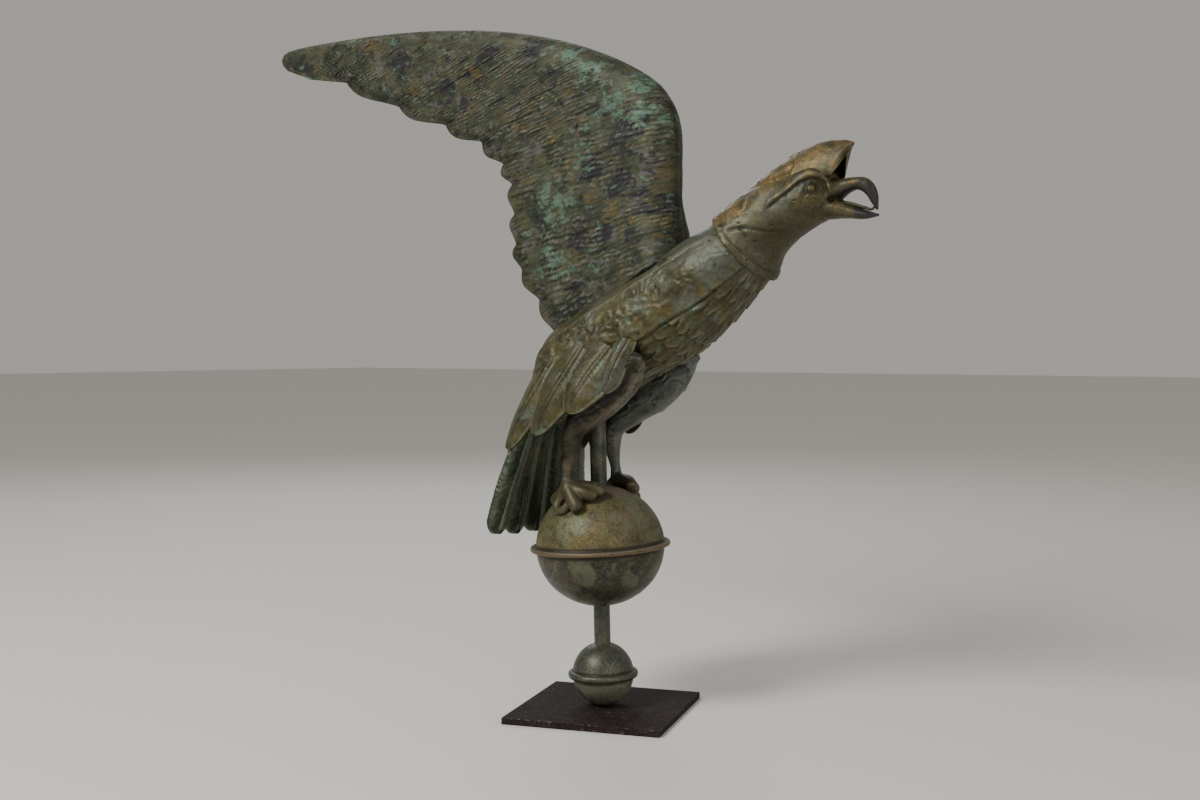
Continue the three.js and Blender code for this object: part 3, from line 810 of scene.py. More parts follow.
def trunkRelief(points, t, angle):
    down = np.abs(angle)
    along = t * trunk["length"]
    around = down * trunk["girth"]
    side = np.sign(angle) + (angle == 0)
    flat = np.column_stack([along, around, side * 300])
    fromSeam = (down - np.interp(t, *trunk["seam"])) * trunk["girth"]
    fromFlange = (down - np.interp(t, *trunk["flange"])) * trunk["girth"]
    breast = step(1.5, 4, fromSeam)
    flank = (1 - breast) * step(2, 5, fromFlange)
    # breast: lapped lobes with a wavy edge
    long, wide = trunk["breastFeather"]
    bentAlong = along + 7 * softNoise(flat, 26, 20) + 1.2 * softNoise(flat, 9, 19)
    bentAround = around + 7 * softNoise(flat, 28, 21) + 1.2 * softNoise(flat, 9, 18)
    feather, number, offset = lappedFeathers(bentAlong / long, bentAround / wide, 22)
    strands = np.sin(offset * 5 + 2 * softNoise(flat, 9, 23))
    height = breast * (2.4 * feather - 1.0 + 0.3 * strands + 0.6 * (number - 0.5))
    mark = 0.6 + breast * (0.55 * feather**0.7 - 0.36 + 0.1 * strands)
    # flank: wavy locks that stream back, calmer towards the collar and the seam
    sway = [7 * softNoise(points, 20, 24), np.zeros(len(t)), 7 * softNoise(points, 20, 25)]
    bent = points + np.column_stack(sway)
    x, y, z = bent.T
    slanted = np.column_stack([x * 0.85 + z * 0.5, y, (z * 0.85 - x * 0.5) * 1.6])
    locks = creases(slanted, 8.5, 26, 2.2)
    curls = creases(bent, 5.5, 30, 2.2)
    calm = 0.22 + 0.78 * step(0.14, 0.36, t) * step(1, 10, -fromSeam)
    height += flank * calm * (0.8 * np.maximum(locks, -0.5) + 0.55 * np.maximum(curls, -0.4) - 0.3)
    mark += flank * calm * (0.13 * locks + 0.13 * curls - 0.06)
    height += 0.9 * roughNoise(points, 22, 27) * (1 - breast)
    # lapped seam: a light ridge with a dark line below it, and a strip where the wings join
    height += 1.0 * bell(fromSeam + 2.2, 2.4) - 1.1 * bell(fromSeam - 1.4, 1.4)
    mark += 0.12 * bell(fromSeam + 2.0, 2.0) - 0.28 * bell(fromSeam - 1.4, 1.2)
    height += 1.2 * bell(fromFlange - 1.5, 1.6) - 1.2 * bell(fromFlange + 1.5, 1.2)
    mark += 0.25 * bell(fromFlange - 1.5, 1.5) - 0.4 * bell(fromFlange + 1.5, 1.2)
    pits = step(0.66, 0.86, softNoise(points, 4.2, 28)) * (1 - breast)
    fine = roughNoise(points, 4, 29)
    height += 0.18 * fine - 0.7 * pits
    mark += 0.06 * fine - 0.4 * pits
    return height * step(0.0, 0.06, t), mark


mesh, t, angle = midMesh("trunk", trunk, 300, 310)
points = readPoints(mesh)
carve(mesh, points, *trunkRelief(points, t, angle))
writeMark(mesh, "calm", step(0.42, 0.12, t) * step(2.35, 2.05, np.abs(angle)))
addPiece("trunkShell", mesh, "body", bodyCopper)

# Coverts: long feathers that hang over the thighs and the root of the tail

coverts = {
    # sag and fore move a tip down and forward on the left, as it's seen there
    "places": [
        {
            "tip": (-79, 249, -18), "root": (-44, 346, -10), "out": (-1, 0.35, -0.2),
            "width": 36, "sag": 6, "spread": 1.1,
        },
        {
            "tip": (-67, 251, -49), "root": (-29, 347, -30), "out": (-1, 0.35, -0.9),
            "width": 35, "sag": 11, "spread": 1.1,
        },
        {
            "tip": (-56, 257, -66), "root": (-10, 352, -42), "out": (-0.35, 0.15, -1),
            "width": 30, "sag": 15, "fore": 7, "spread": 1.3,
        },
        {
            "tip": (-18, 272, -74), "root": (20, 352, -50), "out": (-0.1, 0.1, -1),
            "width": 33, "sag": 8.0, "fore": 2, "spread": 1.45,
        },
        {
            "tip": (18, 292, -71), "root": (50, 352, -49), "out": (0, 0.1, -1),
            "width": 35, "sag": 6, "spread": 1.4,
        },
        {
            "tip": (54, 310, -62), "root": (68, 358, -46), "out": (0.1, 0.1, -1),
            "width": 22.5, "sag": 4, "spread": 1.0,
        },
    ],
    "around": 88,
    "rings": 110,
    "thick": 2.6,
    "crown": 3.2,
    "bow": 3.5,
    "barbPitch": 5.0,
}


def covertMesh(spec, hand, seed):
    root = np.array([spec["root"][0], spec["root"][2] * hand, spec["root"][1] - drawnDrop])
    sag = spec["sag"] if hand < 0 else 0
    fore = spec.get("fore", 0) if hand < 0 else 0
    tip = np.array([spec["tip"][0] + fore, spec["tip"][2] * hand, spec["tip"][1] - sag - drawnDrop])
    out = np.array([spec["out"][0], spec["out"][2] * hand, spec["out"][1]], float)
    length = np.linalg.norm(tip - root)
    axis = (tip - root) / length
    side = np.cross(axis, out)
    side /= np.linalg.norm(side)
    face = np.cross(side, axis)

    def surface(t, angle):
        ending = np.maximum(0, (t - 0.68) / 0.32)
        spread = 1 + (spec["spread"] - 1) * step(0.8, 0.4, t)
        taper = (0.82 + 0.18 * np.sin(math.pi * t)) * np.sqrt(np.maximum(0, 1 - 0.985 * ending**2))
        half = spec["width"] / 2 * spread * taper
        across = np.sin(angle) * half
        share = np.minimum(1.15, np.abs(across) / (spec["width"] / 2))
        lift = coverts["bow"] * np.sin(math.pi * t) - coverts["crown"] * share**2 + 1.6 * np.maximum(0, 1 - share)
        body = coverts["thick"] * np.sign(np.cos(angle)) * np.abs(np.cos(angle)) ** 0.6
        return root + np.outer(t * length, axis) + np.outer(across, side) + np.outer(lift + body, face)

    mesh, t, angle = closedForm("covert", coverts["around"], coverts["rings"], surface)
    points = readPoints(mesh)
    along = t * length
    across = np.sin(angle) * spec["width"] / 2
    outside = step(0.0, 0.35, np.cos(angle))
    margin = 1 - np.abs(np.sin(angle))
    flat = np.column_stack([along, across, np.full(len(t), seed * 50.0)])
    waver = 1.5 * softNoise(flat, 14, seed) + 0.6 * softNoise(flat, 6, seed + 6)
    barbs = ripple((along - 1.3 * np.abs(across)) / coverts["barbPitch"] + waver)
    shown = step(0.10, 0.24, margin) * step(0.97, 0.8, t)
    shown *= 0.45 + 0.55 * step(-0.3, 0.3, softNoise(flat, 9, seed + 5))
    offShaft = across - 1.8 * np.sin(along / 26 + seed)
    shaft = bell(offShaft, 1.0) * step(0.98, 0.85, t)
    ditch = bell(np.abs(offShaft) - 1.9, 0.8) * step(0.98, 0.85, t)
    lip = bell(margin - 0.05, 0.07)
    fine = roughNoise(points, 4, seed + 4)
    curls = creases(flat, 7, seed + 8, 2.2) * step(0.9, 0.4, t)
    height = outside * ((0.18 * barbs + 0.35 * curls) * shown + 0.6 * shaft - 0.8 * ditch + 0.7 * lip)
    height += 0.9 * roughNoise(points, 15, seed + 3) + 0.18 * fine
    mark = 0.6 + (0.06 * barbs + 0.1 * curls) * shown + 0.1 * shaft - 0.4 * ditch + 0.3 * lip + 0.05 * fine
    # the underside of each covert gets a low mark: painted shade that shows it dark
    carve(mesh, points, height, np.where(outside > 0.2, mark, 0.25))
    return mesh


for hand, name in ((1, "rightCoverts"), (-1, "leftCoverts")):
    feathers = [covertMesh(spec, hand, 40 + i * 7 + (hand < 0) * 60) for i, spec in enumerate(coverts["places"])]
    addPiece(name, joinedMesh(name, feathers), "body", bodyCopper)

# Head: skull, crest and beak grown together, with a hollow hood

head = {
    "skull": {
        "top": [(140, 467), (151, 474), (164, 482), (181, 490), (200, 496), (222, 502), (240, 503.5), (251, 495)],
        "bottom": [(190, 406), (193, 415), (198, 425.5), (207, 435), (220, 444), (234, 451), (246, 456), (252, 461)],
        "width": [39.5, 36, 33, 30, 27.5, 25, 20, 13],
    },
    "crest": {
        "top": [(152, 475), (174, 490.5), (193, 501.5), (207, 509.5), (220, 513), (230, 510)],
        "bottom": [(164, 462), (184, 472), (200, 478), (212, 482), (222, 485), (230, 487)],
        "width": [9, 15, 17.5, 18, 17, 10],
    },
    "hood": {
        "top": [(196, 503), (207, 510.3), (222, 516.8), (238, 520.8), (254, 522), (264, 521), (271, 518.5)],
        "base": [(206, 478), (214, 482), (224, 486), (236, 488.5), (248, 490), (258, 491.5), (266, 493)],
        "width": [17.5, 19, 19.5, 18.5, 16, 13.5, 11],
        "wall": 1.5,
        "cutBack": 0.22,
    },
    "upperBeak": {
        "top": [(240, 494), (257, 489), (269, 489.5), (280, 488.5), (287, 483), (291, 474), (291.5, 461)],
        "bottom": [(242, 470), (255, 470.5), (265, 476.5), (273, 478.5), (280, 474.5), (285, 467), (289.5, 460)],
        "width": [15, 11.5, 8.5, 7, 5.5, 3.5, 1],
    },
    "lowerBeak": {
        "top": [(240, 474), (255, 472.5), (266, 467.5), (279, 461.5), (292, 457)],
        "bottom": [(238, 455), (251, 455.5), (264, 455), (278, 453.5), (291, 455)],
        "width": [15, 12, 9, 6.5, 2],
    },
    "brow": [
        (196, 461), (203, 467.5), (211, 473.5), (220, 479), (229, 486), (238, 489.5), (245, 488.5),
        (249.5, 484), (251, 477), (249.5, 469),
    ],
    "strokes": [
        {"line": [(163, 448), (176, 450), (188, 449), (200, 446), (216, 446)], "depth": 0.8, "reach": 1.7},
        {"line": [(176, 452), (181, 447), (184, 440)], "depth": 0.5, "reach": 1.8},
    ],
    "eye": {"place": (240, 480), "ball": 3.8, "ring": 5.2},
    "dimple": (252, 470),
    "voxel": 0.75,
}


def headMesh():
    shapes = (("skull", 64, 60), ("crest", 48, 50, 0.25), ("upperBeak", 32, 60), ("lowerBeak", 32, 50))
    forms = [midMesh(name, head[name], *faces)[0] for name, *faces in shapes]
    return fused("head", forms, head["voxel"], soften=2)


def hoodSurface(t, angle):
    # a thin arched sheet whose free front edge runs back from its tip to the brow on both sides
    spec = head["hood"]
    outer = step(-0.12, 0.12, np.cos(angle))
    round_ = np.arcsin(np.clip(np.sin(angle), -1, 1))
    place = t * (1 - spec["cutBack"] * np.abs(np.sin(round_)) ** 1.4)
    top, base = spline(spec["top"], place), spline(spec["base"], place)
    tall = np.linalg.norm(top - base, axis=1)
    up = (top - base) / tall[:, None]
    shrink = spec["wall"] * (1 - outer)
    lift = (tall - shrink) * np.cos(round_)
    wide = (valueAlong(spec["width"], place) - shrink) * np.sin(round_) * (1 - 0.22 * np.cos(round_) ** 2)
    flat = base + up * lift[:, None]
    return np.column_stack([flat[:, 0], wide, flat[:, 1] - drawnDrop])


mesh = headMesh()
points = readPoints(mesh)
x, y, z = points.T
flat = points[:, [0, 2]]
side = np.abs(y)
onSide = step(7, 13, side)
# eye socket under a brow, with a rounded roll above it
distance, run, left = toStroke(flat, head["brow"])
under = step(0.7, -0.7, distance * left)
fade = step(0, 0.2, run) * step(1.0, 0.85, run)
roll = step(0.35, 0.5, run) * step(0.98, 0.88, run) * step(24, 16, side)
height = onSide * fade * (-2.2 * under * np.exp(-distance / 8.5) + 1.2 * (1 - under) * bell(distance - 2, 4.5))
height += onSide * roll * 2.4 * (1 - under) * bell(distance - 4.5, 5.0)
# the socket under the brow is also painted darker, as shade
mark = 0.62 - 0.2 * onSide * fade * under * np.exp(-distance / 7.5)
mark += 0.1 * onSide * fade * (1 - under) * bell(distance - 1, 2.5)
# painted shade: a dark teal patch in the eye socket under the brow
socket = onSide * under * np.exp(-distance / 6) * step(0, 0.12, run) * step(0.75, 0.5, run)
for stroke in head["strokes"]:
    distance, run, _ = toStroke(flat, stroke["line"])
    groove = bell(distance, stroke["reach"]) * step(0, 0.15, run) * step(1, 0.85, run) * step(6, 14, side)
    height -= stroke["depth"] * groove
    mark -= 0.32 * groove
eye = np.hypot(*(flat - head["eye"]["place"]).T)
ring = np.abs(eye - head["eye"]["ring"])
height += onSide * (2.2 * np.sqrt(np.maximum(0, 1 - (eye / head["eye"]["ball"]) ** 2)) - 0.7 * bell(ring, 1.4))
mark -= 0.3 * onSide * bell(ring, 1.2)
dimple = bell(np.hypot(*(flat - head["dimple"]).T), 2.2)
height -= 1.4 * dimple
mark -= 0.5 * dimple
# curls on the crest and nape, fine lines on the neck
nape = step(472, 486, z + 0.72 * (200 - x)) * step(264, 236, x)
curls = creases(points, 7, 31)
smooth = step(262, 240, x)
height += 0.35 * nape * np.maximum(curls, -0.5) + 0.5 * roughNoise(points, 16, 32) * smooth
lines = creases(points, 9, 38)
height += 0.25 * lines * smooth * (1 - nape)
pits = step(0.74, 0.9, softNoise(points, 3.2, 34)) * step(250, 230, x)
fine = roughNoise(points, 3.4, 33)
height += 0.14 * fine - 0.6 * pits
mark += 0.16 * nape * curls + 0.06 * fine + 0.05 * lines - 0.4 * pits
# the collar's rolled rim, and the beak's edges
bottomRim, _, _ = toStroke(flat, [(140, 467), (190, 406)])
height += 0.35 * bell(bottomRim - 2.6, 2.6) - 0.3 * bell(bottomRim - 6.2, 1.2)
mark += 0.04 * bell(bottomRim - 2.6, 1.8) - 0.3 * bell(bottomRim - 6.0, 1.0)
beakLines = head["upperBeak"]["bottom"][1:], head["lowerBeak"]["top"][1:]
beakEdge = np.minimum(*[toStroke(flat, line)[0] for line in beakLines])
mark -= 0.3 * bell(beakEdge, 2.0) * step(250, 258, x)
carve(mesh, points, height, mark)
writeMark(mesh, "rubbing", 0.8 * nape)
writeMark(mesh, "beak", 0.9 * step(264, 284, x) + 0.8 * bell(beakEdge, 3.4) * step(248, 258, x))
writeMark(mesh, "calm", step(222, 190, x) * (1 - nape))
writeMark(mesh, "shade", step(0.25, -0.55, readNormals(mesh)[:, 2]) * step(262, 246, x))
# painted shade in the eye socket, for the head's dark teal patch
writeMark(mesh, "sootAndShade", socket)
hood, t, angle = closedForm("hood", 160, 90, hoodSurface)
points = readPoints(hood)
curls = creases(points, 8, 36)
outside = step(-0.1, 0.3, np.cos(angle))
fine = roughNoise(points, 3.6, 37)
height = outside * (0.4 * curls * step(0.95, 0.6, t) + 0.15 * fine)
# the inside of the hood gets a lower mark than the outside: painted shade that shows it darker
mark = 0.42 + outside * (0.2 + 0.1 * curls + 0.06 * fine) + 0.25 * step(0.93, 0.98, t)
carve(hood, points, height, mark)
writeMark(hood, "rubbing", outside)
addPiece("headShell", joinedMesh("headShell", [mesh, hood]), "head", headCopper)


def limbMesh(name, path, across, deep, around, rings, relief=None, blunt=0.0, side=(0, 1, 0)):
    # a tapering limb along a path; blunt is the share of it that rounds off its far end
    side = np.asarray(side, float)

    def surface(t, angle):
        centre = spline(path, t)
        tangent = spline(path, np.minimum(t + 0.004, 1)) - spline(path, np.maximum(t - 0.004, 0))
        tangent /= np.linalg.norm(tangent, axis=1)[:, None]
        acrossWay = side - tangent * (tangent @ side)[:, None]
        acrossWay /= np.linalg.norm(acrossWay, axis=1)[:, None]
        deepWay = np.cross(tangent, acrossWay)
        ending = np.maximum(0, t - 1 + blunt) / max(blunt, 1e-6)
        rounding = np.sqrt(np.maximum(0.0004, 1 - ending**2))
        wide = valueAlong(across, t) * np.sin(angle) * rounding
        thick = valueAlong(deep, t) * np.cos(angle) * rounding
        return centre + acrossWay * wide[:, None] + deepWay * thick[:, None]

    mesh, t, angle = closedForm(name, around, rings, surface)
    if relief:
        points = readPoints(mesh)
        carve(mesh, points, *relief(points, t, angle))
    return mesh


def drawn(*places):
    # drawn places, each forward, up and to the left, as points
    return [(forward, left, up - drawnDrop) for forward, up, left in places]


tongue = {
    "path": drawn((256, 470, 0), (268, 467, 0), (278, 463.5, 0), (285, 461.5, 0), (289, 464, 0)),
    "across": [4, 3.6, 2.8, 1.8, 0.8],
    "deep": [1.6, 1.5, 1.4, 1.2, 0.8],
}


def tongueRelief(points, t, angle):
    return 0.15 * roughNoise(points, 4, 35), np.full(len(t), 0.5)


mesh = limbMesh("tongue", tongue["path"], tongue["across"], tongue["deep"], 24, 60, tongueRelief)
addPiece("tongueStrip", mesh, "tongue", bodyCopper)

# Tail: rolled feathers, each with a smooth shaft and combed edges

tail = {
    "feathers": 5,
    "length": 130,
    "arch": 5,
    "spreads": [34, 49, 57.5, 64],
    "across": [11.5, 14.5, 15.6, 15.6],
    "deep": [4.5, 6.2, 6.6, 6.2],
    "shaft": 3.8,
    "shaftOut": 3.6,
    "combPitch": 5.4,
}


def tailRelief(seed):
    def relief(points, t, angle):
        along = t * tail["length"]
        edge = bell(np.abs(angle) - math.pi / 2, 0.42)
        saw = (along / tail["combPitch"] + 0.4 * softNoise(points, 9, seed)) % 1
        comb = (2 * np.abs(saw - 0.5) - 0.5) * step(-0.5, 0.1, softNoise(points, 12, seed + 3))
        inner = step(74, 60, np.abs(points[:, 1]))
        shown = edge * step(0.12, 0.4, t) * step(0.9, 0.78, t) * (0.35 + 0.65 * inner)
        fine = roughNoise(points, 5, seed + 1)
        streak = ripple(along / 7.5 - 0.5 * np.abs(points[:, 1]) / 7 + softNoise(points, 10, seed + 4))
        height = 1.5 * comb * shown + 0.5 * roughNoise(points, 10, seed + 2) + 0.12 * fine
        height += 0.15 * streak * (1 - edge)
        mark = 0.6 + (0.5 * comb + 0.25) * shown + 0.08 * fine + 0.08 * streak
        mark -= 0.5 * bell(np.abs(angle) - math.pi / 2, 0.14)
        return height, mark

    return relief


def shaftRelief(light):
    def relief(points, t, angle):
        # each shaft's mark is set light, a painted highlight; its end cap is darker
        return 0.12 * roughNoise(points, 6, 58), light - 0.6 * step(0.93, 0.97, t)

    return relief


feathers = []
for i in range(tail["feathers"]):
    s = 2 * i / (tail["feathers"] - 1) - 1
    arch = tail["arch"] * (1 - s * s)
    places = [(-45 - arch, 304), (-64 - arch, 240), (-71.5 - arch, 207 - arch), (-77.5 - arch, 175.2 - arch)]
    path = drawn(*[(forward, up, s * spread) for (forward, up), spread in zip(places, tail["spreads"])])
    relief = tailRelief(60 + 5 * i)
    feathers.append(limbMesh("tailFeather", path, tail["across"], tail["deep"], 72, 150, relief, 0.14))
    widths = [tail["shaft"] * share for share in (0.5, 0.85, 1, 1.1)]
    for out in (1, -1):
        shaftPath = [(x + out * tail["shaftOut"], y, z) for x, y, z in path]
        relief = shaftRelief(0.82 if i == 0 else 0.66)  # the shafts carry a painted highlight, stronger on the near side's shafts
        feathers.append(limbMesh("tailShaft", shaftPath, widths, widths, 24, 90, relief, 0.045))
addPiece("tailFeathers", joinedMesh("tailFeathers", feathers), "tail", tailCopper)

# Legs: thigh, shank and toes grown together

ball = {
    "radius": 61.7,
    "halfHeight": 57.7,
    "middle": 160.45,
    "floor": 0,
    "ringReach": 5.6,
    "ringHalf": 2.2,
    "tilt": 1.8,
}
leg = {
    "path": [
        (86, 340, 48), (77, 337, 46), (61, 327, 43.5), (37, 309, 43), (14, 290, 39), (-4, 271, 35),
        (-8, 252, 36), (-8, 234, 40), (-7, 220, 41),
    ],
    "across": [3, 9, 15, 17, 14, 9.5, 7, 5, 6.5],
    "deep": [3, 11, 20, 22, 16, 10, 8, 5, 6.5],
    "toes": [
        {"places": [(12, 31.5, 10), (19, 27, 7.5), (23, 24, 4.5)], "thick": 7.2},
        {"places": [(10, 38.5, 10), (16, 35, 7.5), (19.5, 32.5, 4)], "thick": 7.2},
        {"places": [(3, 46, 10), (8, 48, 7), (10.5, 48.5, 4)], "thick": 7.6},
        {"places": [(-13, 42, 9), (-17, 44.5, 6), (-13, 48, 3.5), (-6, 48.5, 4), (-1, 45, 9)], "thick": 5.0},
        {"places": [(-16, 39, 9), (-23, 37, 7), (-28, 35.5, 4)], "thick": 6.4},
    ],
    "voxel": 0.85,
}


def onBall(x, y, above):
    share = min(0.98, math.hypot(x, y) / ball["radius"])
    return (x, y, ball["middle"] + ball["halfHeight"] * math.sqrt(1 - share**2) + above)


def legMesh(hand):
    path = drawn(*[(forward, up, left * hand) for forward, up, left in leg["path"]])
    forms = [limbMesh("thigh", path, leg["across"], leg["deep"], 56, 90)]
    ankle = drawn((-7, 221, 41 * hand))[0]
    for toe in leg["toes"]:
        places = [(x, y * hand, above) for x, y, above in toe["places"]]
        path = [ankle, *[onBall(*place) for place in places]]
        run = np.array(path[-1]) - np.array(ankle)
        thick = toe["thick"]
        widths = [thick * share for share in np.linspace(1, 0.8, len(path))]
        forms.append(limbMesh("toe", path, widths, widths, 32, 60, blunt=0.12, side=(-run[1], run[0], 0)))
    return fused("leg", forms, leg["voxel"], soften=5)


for hand, name, cadNode in ((-1, "rightLegShell", "right_leg"), (1, "leftLegShell", "left_leg")):
    mesh = legMesh(hand)
    points = readPoints(mesh)
    flat = points[:, [0, 2]]
    line = [(forward, up - drawnDrop) for forward, up, _ in leg["path"][:6]]
    distance, run, left = toStroke(flat, line)
    reach = distance / np.maximum(4, valueAlong(leg["deep"][:6], run))
    thigh = step(274, 288, points[:, 2]) * step(0.85, 0.65, reach) * step(0.1, 0.25, run)
    rim = bell(reach - 0.92, 0.1) * step(268, 280, points[:, 2])
    dash = ripple((points[:, 0] * 0.45 - points[:, 2] * 0.9) / 6.0 + 1.1 * softNoise(points, 11, 70))
    broken = step(-0.3, 0.3, softNoise(points, 6.5, 71))
    fine = roughNoise(points, 3.5, 73)
    height = thigh * 0.4 * dash * broken + 0.35 * roughNoise(points, 14, 72) + 0.12 * fine
    wrinkle = np.sin(2 * math.pi * points[:, 2] / 4.2 + 2 * softNoise(points, 9, 74))
    wrinkle *= bell(points[:, 2] - 262, 8) + bell(points[:, 2] - 228, 6)
    height += 0.15 * wrinkle
    deepHere = np.maximum(6, valueAlong(leg["deep"][:6], run))
    # painted shade: the upper thigh inward of its front rim, where the coverts' shade falls, is marked dark
    writeMark(mesh, "sootAndShade", step(268, 286, points[:, 2]) * step(deepHere - 2, deepHere - 8, distance * left))
    writeMark(mesh, "smear", step(232, 216, points[:, 2]))
    # the thigh's middle is painted darker as shade under the coverts, and its front rim lighter as a painted
    # highlight
    mark = 0.56 - 0.16 * thigh + 0.22 * thigh * dash * broken + 0.25 * rim + 0.08 * wrinkle + 0.06 * fine
    carve(mesh, points, height, mark)
    addPiece(name, mesh, cadNode, legCopper if hand < 0 else farLegCopper)

# Balls: spun cups with a ring at the seam of each

smallBall = {
    "radius": 29.5,
    "halfHeight": 30.4,
    "middle": 36.75,
    "floor": 6.95,
    "ringReach": 4.2,
    "ringHalf": 3.2,
    "tilt": 0,
}
ballLook = {"steps": 144, "curve": 44, "gap": 0.15, "dent": 0.25}


def spunMesh(name, profile):
    # a profile of reach and height turned once round the pole
    shape = bmesh.new()
    places = [shape.verts.new((reach, 0, height)) for reach, height in profile]
    edges = [shape.edges.new(pair) for pair in zip(places[:-1], places[1:])]
    bmesh.ops.spin(
        shape, geom=places + edges, cent=(0, 0, 0), axis=(0, 0, 1),
        angle=2 * math.pi, steps=ballLook["steps"], use_merge=True,
    )
    bmesh.ops.remove_doubles(shape, verts=shape.verts, dist=0.01)
    bmesh.ops.recalc_face_normals(shape, faces=shape.faces)
    return meshFrom(shape, name)


def cupProfile(spec, up):
    # from the pole out along the seam, round the ring of an upper cup, and over the wall to the pole or the floor
    radius, halfHeight, gap = spec["radius"], spec["halfHeight"], ballLook["gap"]
    profile = [(0, gap * up)]
    low = gap / halfHeight
    if up > 0:
        half = spec["ringHalf"]
        flat = half * 0.8
        profile += [(radius, gap), (radius, -half)]
        for turn in np.linspace(-math.pi / 2, math.pi / 2, 13):
            profile.append((radius + spec["ringReach"] - flat + flat * math.cos(turn), half * math.sin(turn)))
        low = half / halfHeight
    floor = spec["floor"] - spec["middle"]
    for i in range(ballLook["curve"] + 1):
        turn = math.asin(low) + (math.pi / 2 - math.asin(low)) * i / ballLook["curve"]
        reach, height = radius * math.cos(turn), halfHeight * math.sin(turn) * up
        if height < floor:
            share = math.sqrt(max(0, 1 - (floor / halfHeight) ** 2))
            profile += [(radius * share, floor), (0, floor)]
            break
        profile.append((0.0 if i == ballLook["curve"] else reach, height))
    return profile


def ballMesh(name, spec, up, seed):
    mesh = spunMesh(name, cupProfile(spec, up))
    points = readPoints(mesh)
    reach = np.hypot(points[:, 0], points[:, 1])
    height = ballLook["dent"] * roughNoise(points, 18, seed) + 0.08 * roughNoise(points, 5, seed + 1)
    height *= step(0, 3, reach) * step(0.2, 2, np.abs(points[:, 2]))
    points = points + readNormals(mesh) * height[:, None]
    z = points[:, 2]
    beyond = reach - spec["radius"]
    onRing = step(-0.6, 0.4, beyond)
    writeMark(mesh, "relief", 0.62 + height * 0.5 - 0.5 * bell(beyond, 0.9) * (np.abs(z) < 6))
    top = z / np.abs(z).max()
    # painted light: the ball's crown and the ring's upper face marked paler, as lit from above
    writeMark(mesh, "paintedTopLight", np.maximum(step(0.72, 1.0, top), 0.9 * onRing * step(0, 1.5, z)))
    writeMark(mesh, "lipEdge", onRing * step(0.6, -0.6, z))
    writeMark(mesh, "smear", step(0.1, 0.6, top) * step(0.95, 0.6, top))
    writePoints(mesh, points @ leanBy(spec["tilt"]).T + np.array([0, 0, spec["middle"]]))
    return mesh


for name, cadNode, spec, up, seed, look in (
    ("largeBallTop", "large_ball_upper", ball, 1, 80, ballCopper),
    ("largeBallBottom", "large_ball_lower", ball, -1, 82, undersideCopper),
    ("smallBallTop", "small_ball_upper", smallBall, 1, 84, poleCopper),
    ("smallBallBottom", "small_ball_lower", smallBall, -1, 86, paintedLightCopper),
):
    addPiece(name, ballMesh(name, spec, up, seed), cadNode, look)

# Pole

pole = {"radius": 7.9, "bottom": 6.95, "top": 321.15, "around": 64, "rings": 260}


def poleSurface(t, angle):
    height = pole["bottom"] + (pole["top"] - pole["bottom"]) * t
    return np.column_stack([pole["radius"] * np.cos(angle), pole["radius"] * np.sin(angle), height])


mesh, t, angle = closedForm("pole", pole["around"], pole["rings"], poleSurface)
points = readPoints(mesh)
height = 0.12 * roughNoise(points, 10, 90) + 0.05 * roughNoise(points, 3, 91)
carve(mesh, points, height, 0.6 + 0.1 * roughNoise(points, 6, 92))
addPiece("poleRod", mesh, "pole", poleCopper)

# Stand plate

plate = {"side": 152.4, "thickness": 6.35, "bevel": 0.6, "turn": 17.2}
plateTurn = Matrix.Rotation(math.radians(plate["turn"]), 3, "Z")


def plateMesh():
    shape = bmesh.new()
    bmesh.ops.create_cube(shape, size=1)
    bmesh.ops.scale(shape, verts=shape.verts, vec=(plate["side"], plate["side"], plate["thickness"]))
    bmesh.ops.translate(shape, verts=shape.verts, vec=(0, 0, plate["thickness"] / 2))
    bmesh.ops.bevel(
        shape, geom=shape.edges, offset=plate["bevel"], affect="EDGES", segments=3, profile=0.5, material=-1
    )
    bmesh.ops.rotate(shape, verts=shape.verts, cent=(0, 0, 0), matrix=plateTurn)
    return meshFrom(shape, "plate")


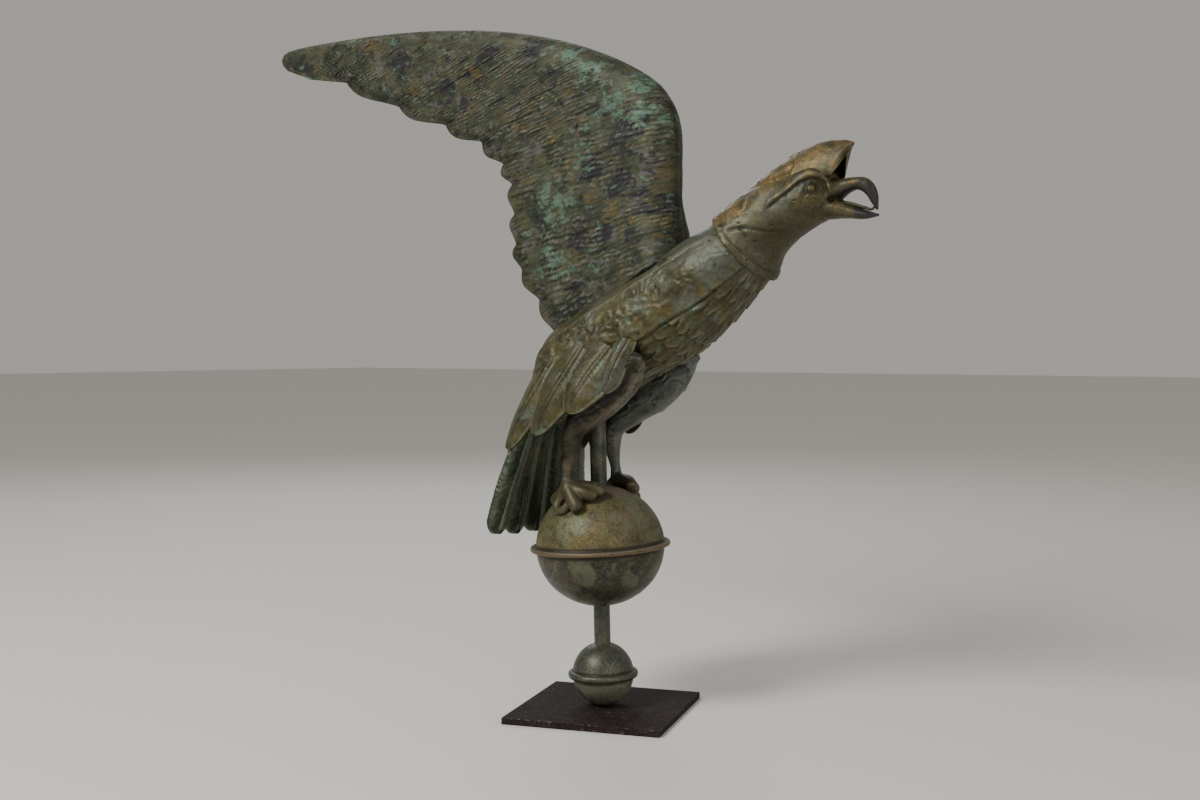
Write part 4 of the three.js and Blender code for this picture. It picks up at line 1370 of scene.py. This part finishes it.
mesh = plateMesh()
writeMark(mesh, "relief", np.full(len(mesh.vertices), 0.7))
points = readPoints(mesh)
flatTop = (points[:, 2] < 1e-4) | (points[:, 2] > plate["thickness"] - 1e-4)
reach = np.abs((points @ np.array(plateTurn))[:, :2]).max(axis=1)
writeMark(mesh, "edge", ~(flatTop | (reach > plate["side"] / 2 - 1e-3)))
addPiece("standPlate", mesh, "stand_plate", blackSteel, leaning=False)
for polygon in mesh.polygons:
    polygon.use_smooth = False

# Floor, light and camera

stage = {"floor": 16.0, "floorColor": (0.72, 0.70, 0.67), "sky": (0.80, 0.765, 0.72), "skyStrength": 0.50}
shape = bmesh.new()
bmesh.ops.create_grid(shape, x_segments=8, y_segments=8, size=stage["floor"])
floor = placed("floor", meshFrom(shape, "floor"))
floorPaint = bpy.data.materials.new("floorPaint")
floorPaint.use_nodes = True
paint = floorPaint.node_tree.nodes["Principled BSDF"]
feed(floorPaint.node_tree, paint, {"Base Color": stage["floorColor"], "Roughness": 0.7})
floor.data.materials.append(floorPaint)

world = bpy.data.worlds.new("studio")
bpy.context.scene.world = world
world.use_nodes = True
sky = world.node_tree.nodes["Background"]
feed(world.node_tree, sky, {"Color": stage["sky"], "Strength": stage["skyStrength"]})

lamps = [
    {"name": "keyLamp", "place": (-0.5, -1.9, 1.9), "size": 0.9, "power": 56, "color": (1.0, 0.97, 0.92)},
    {"name": "fillLamp", "place": (2.2, -0.9, 0.9), "size": 1.4, "power": 12, "color": (1.0, 0.95, 0.9)},
    {"name": "backLamp", "place": (-1.6, 1.5, 1.8), "size": 1.4, "power": 14, "color": (0.93, 0.97, 1.0)},
]
target = Vector((-0.05, 0, 0.36))
for lamp in lamps:
    light = bpy.data.lights.new(lamp["name"], "AREA")
    light.shape = "DISK"
    light.size = lamp["size"]
    light.energy = lamp["power"]
    light.color = lamp["color"]
    holder = placed(lamp["name"], light)
    holder.location = lamp["place"]
    holder.rotation_euler = (target - Vector(lamp["place"])).to_track_quat("-Z", "Y").to_euler()

view = {"place": (0.7738, -1.1119, 0.3509), "pitch": 87.84, "turn": 35, "lens": 42.546, "sensor": 36}
camera = bpy.data.cameras.new("camera")
camera.lens = view["lens"]
camera.sensor_width = view["sensor"]
camera.sensor_fit = "HORIZONTAL"
holder = placed("camera", camera)
holder.location = view["place"]
holder.rotation_euler = (math.radians(view["pitch"]), 0, math.radians(view["turn"]))
bpy.context.scene.camera = holder
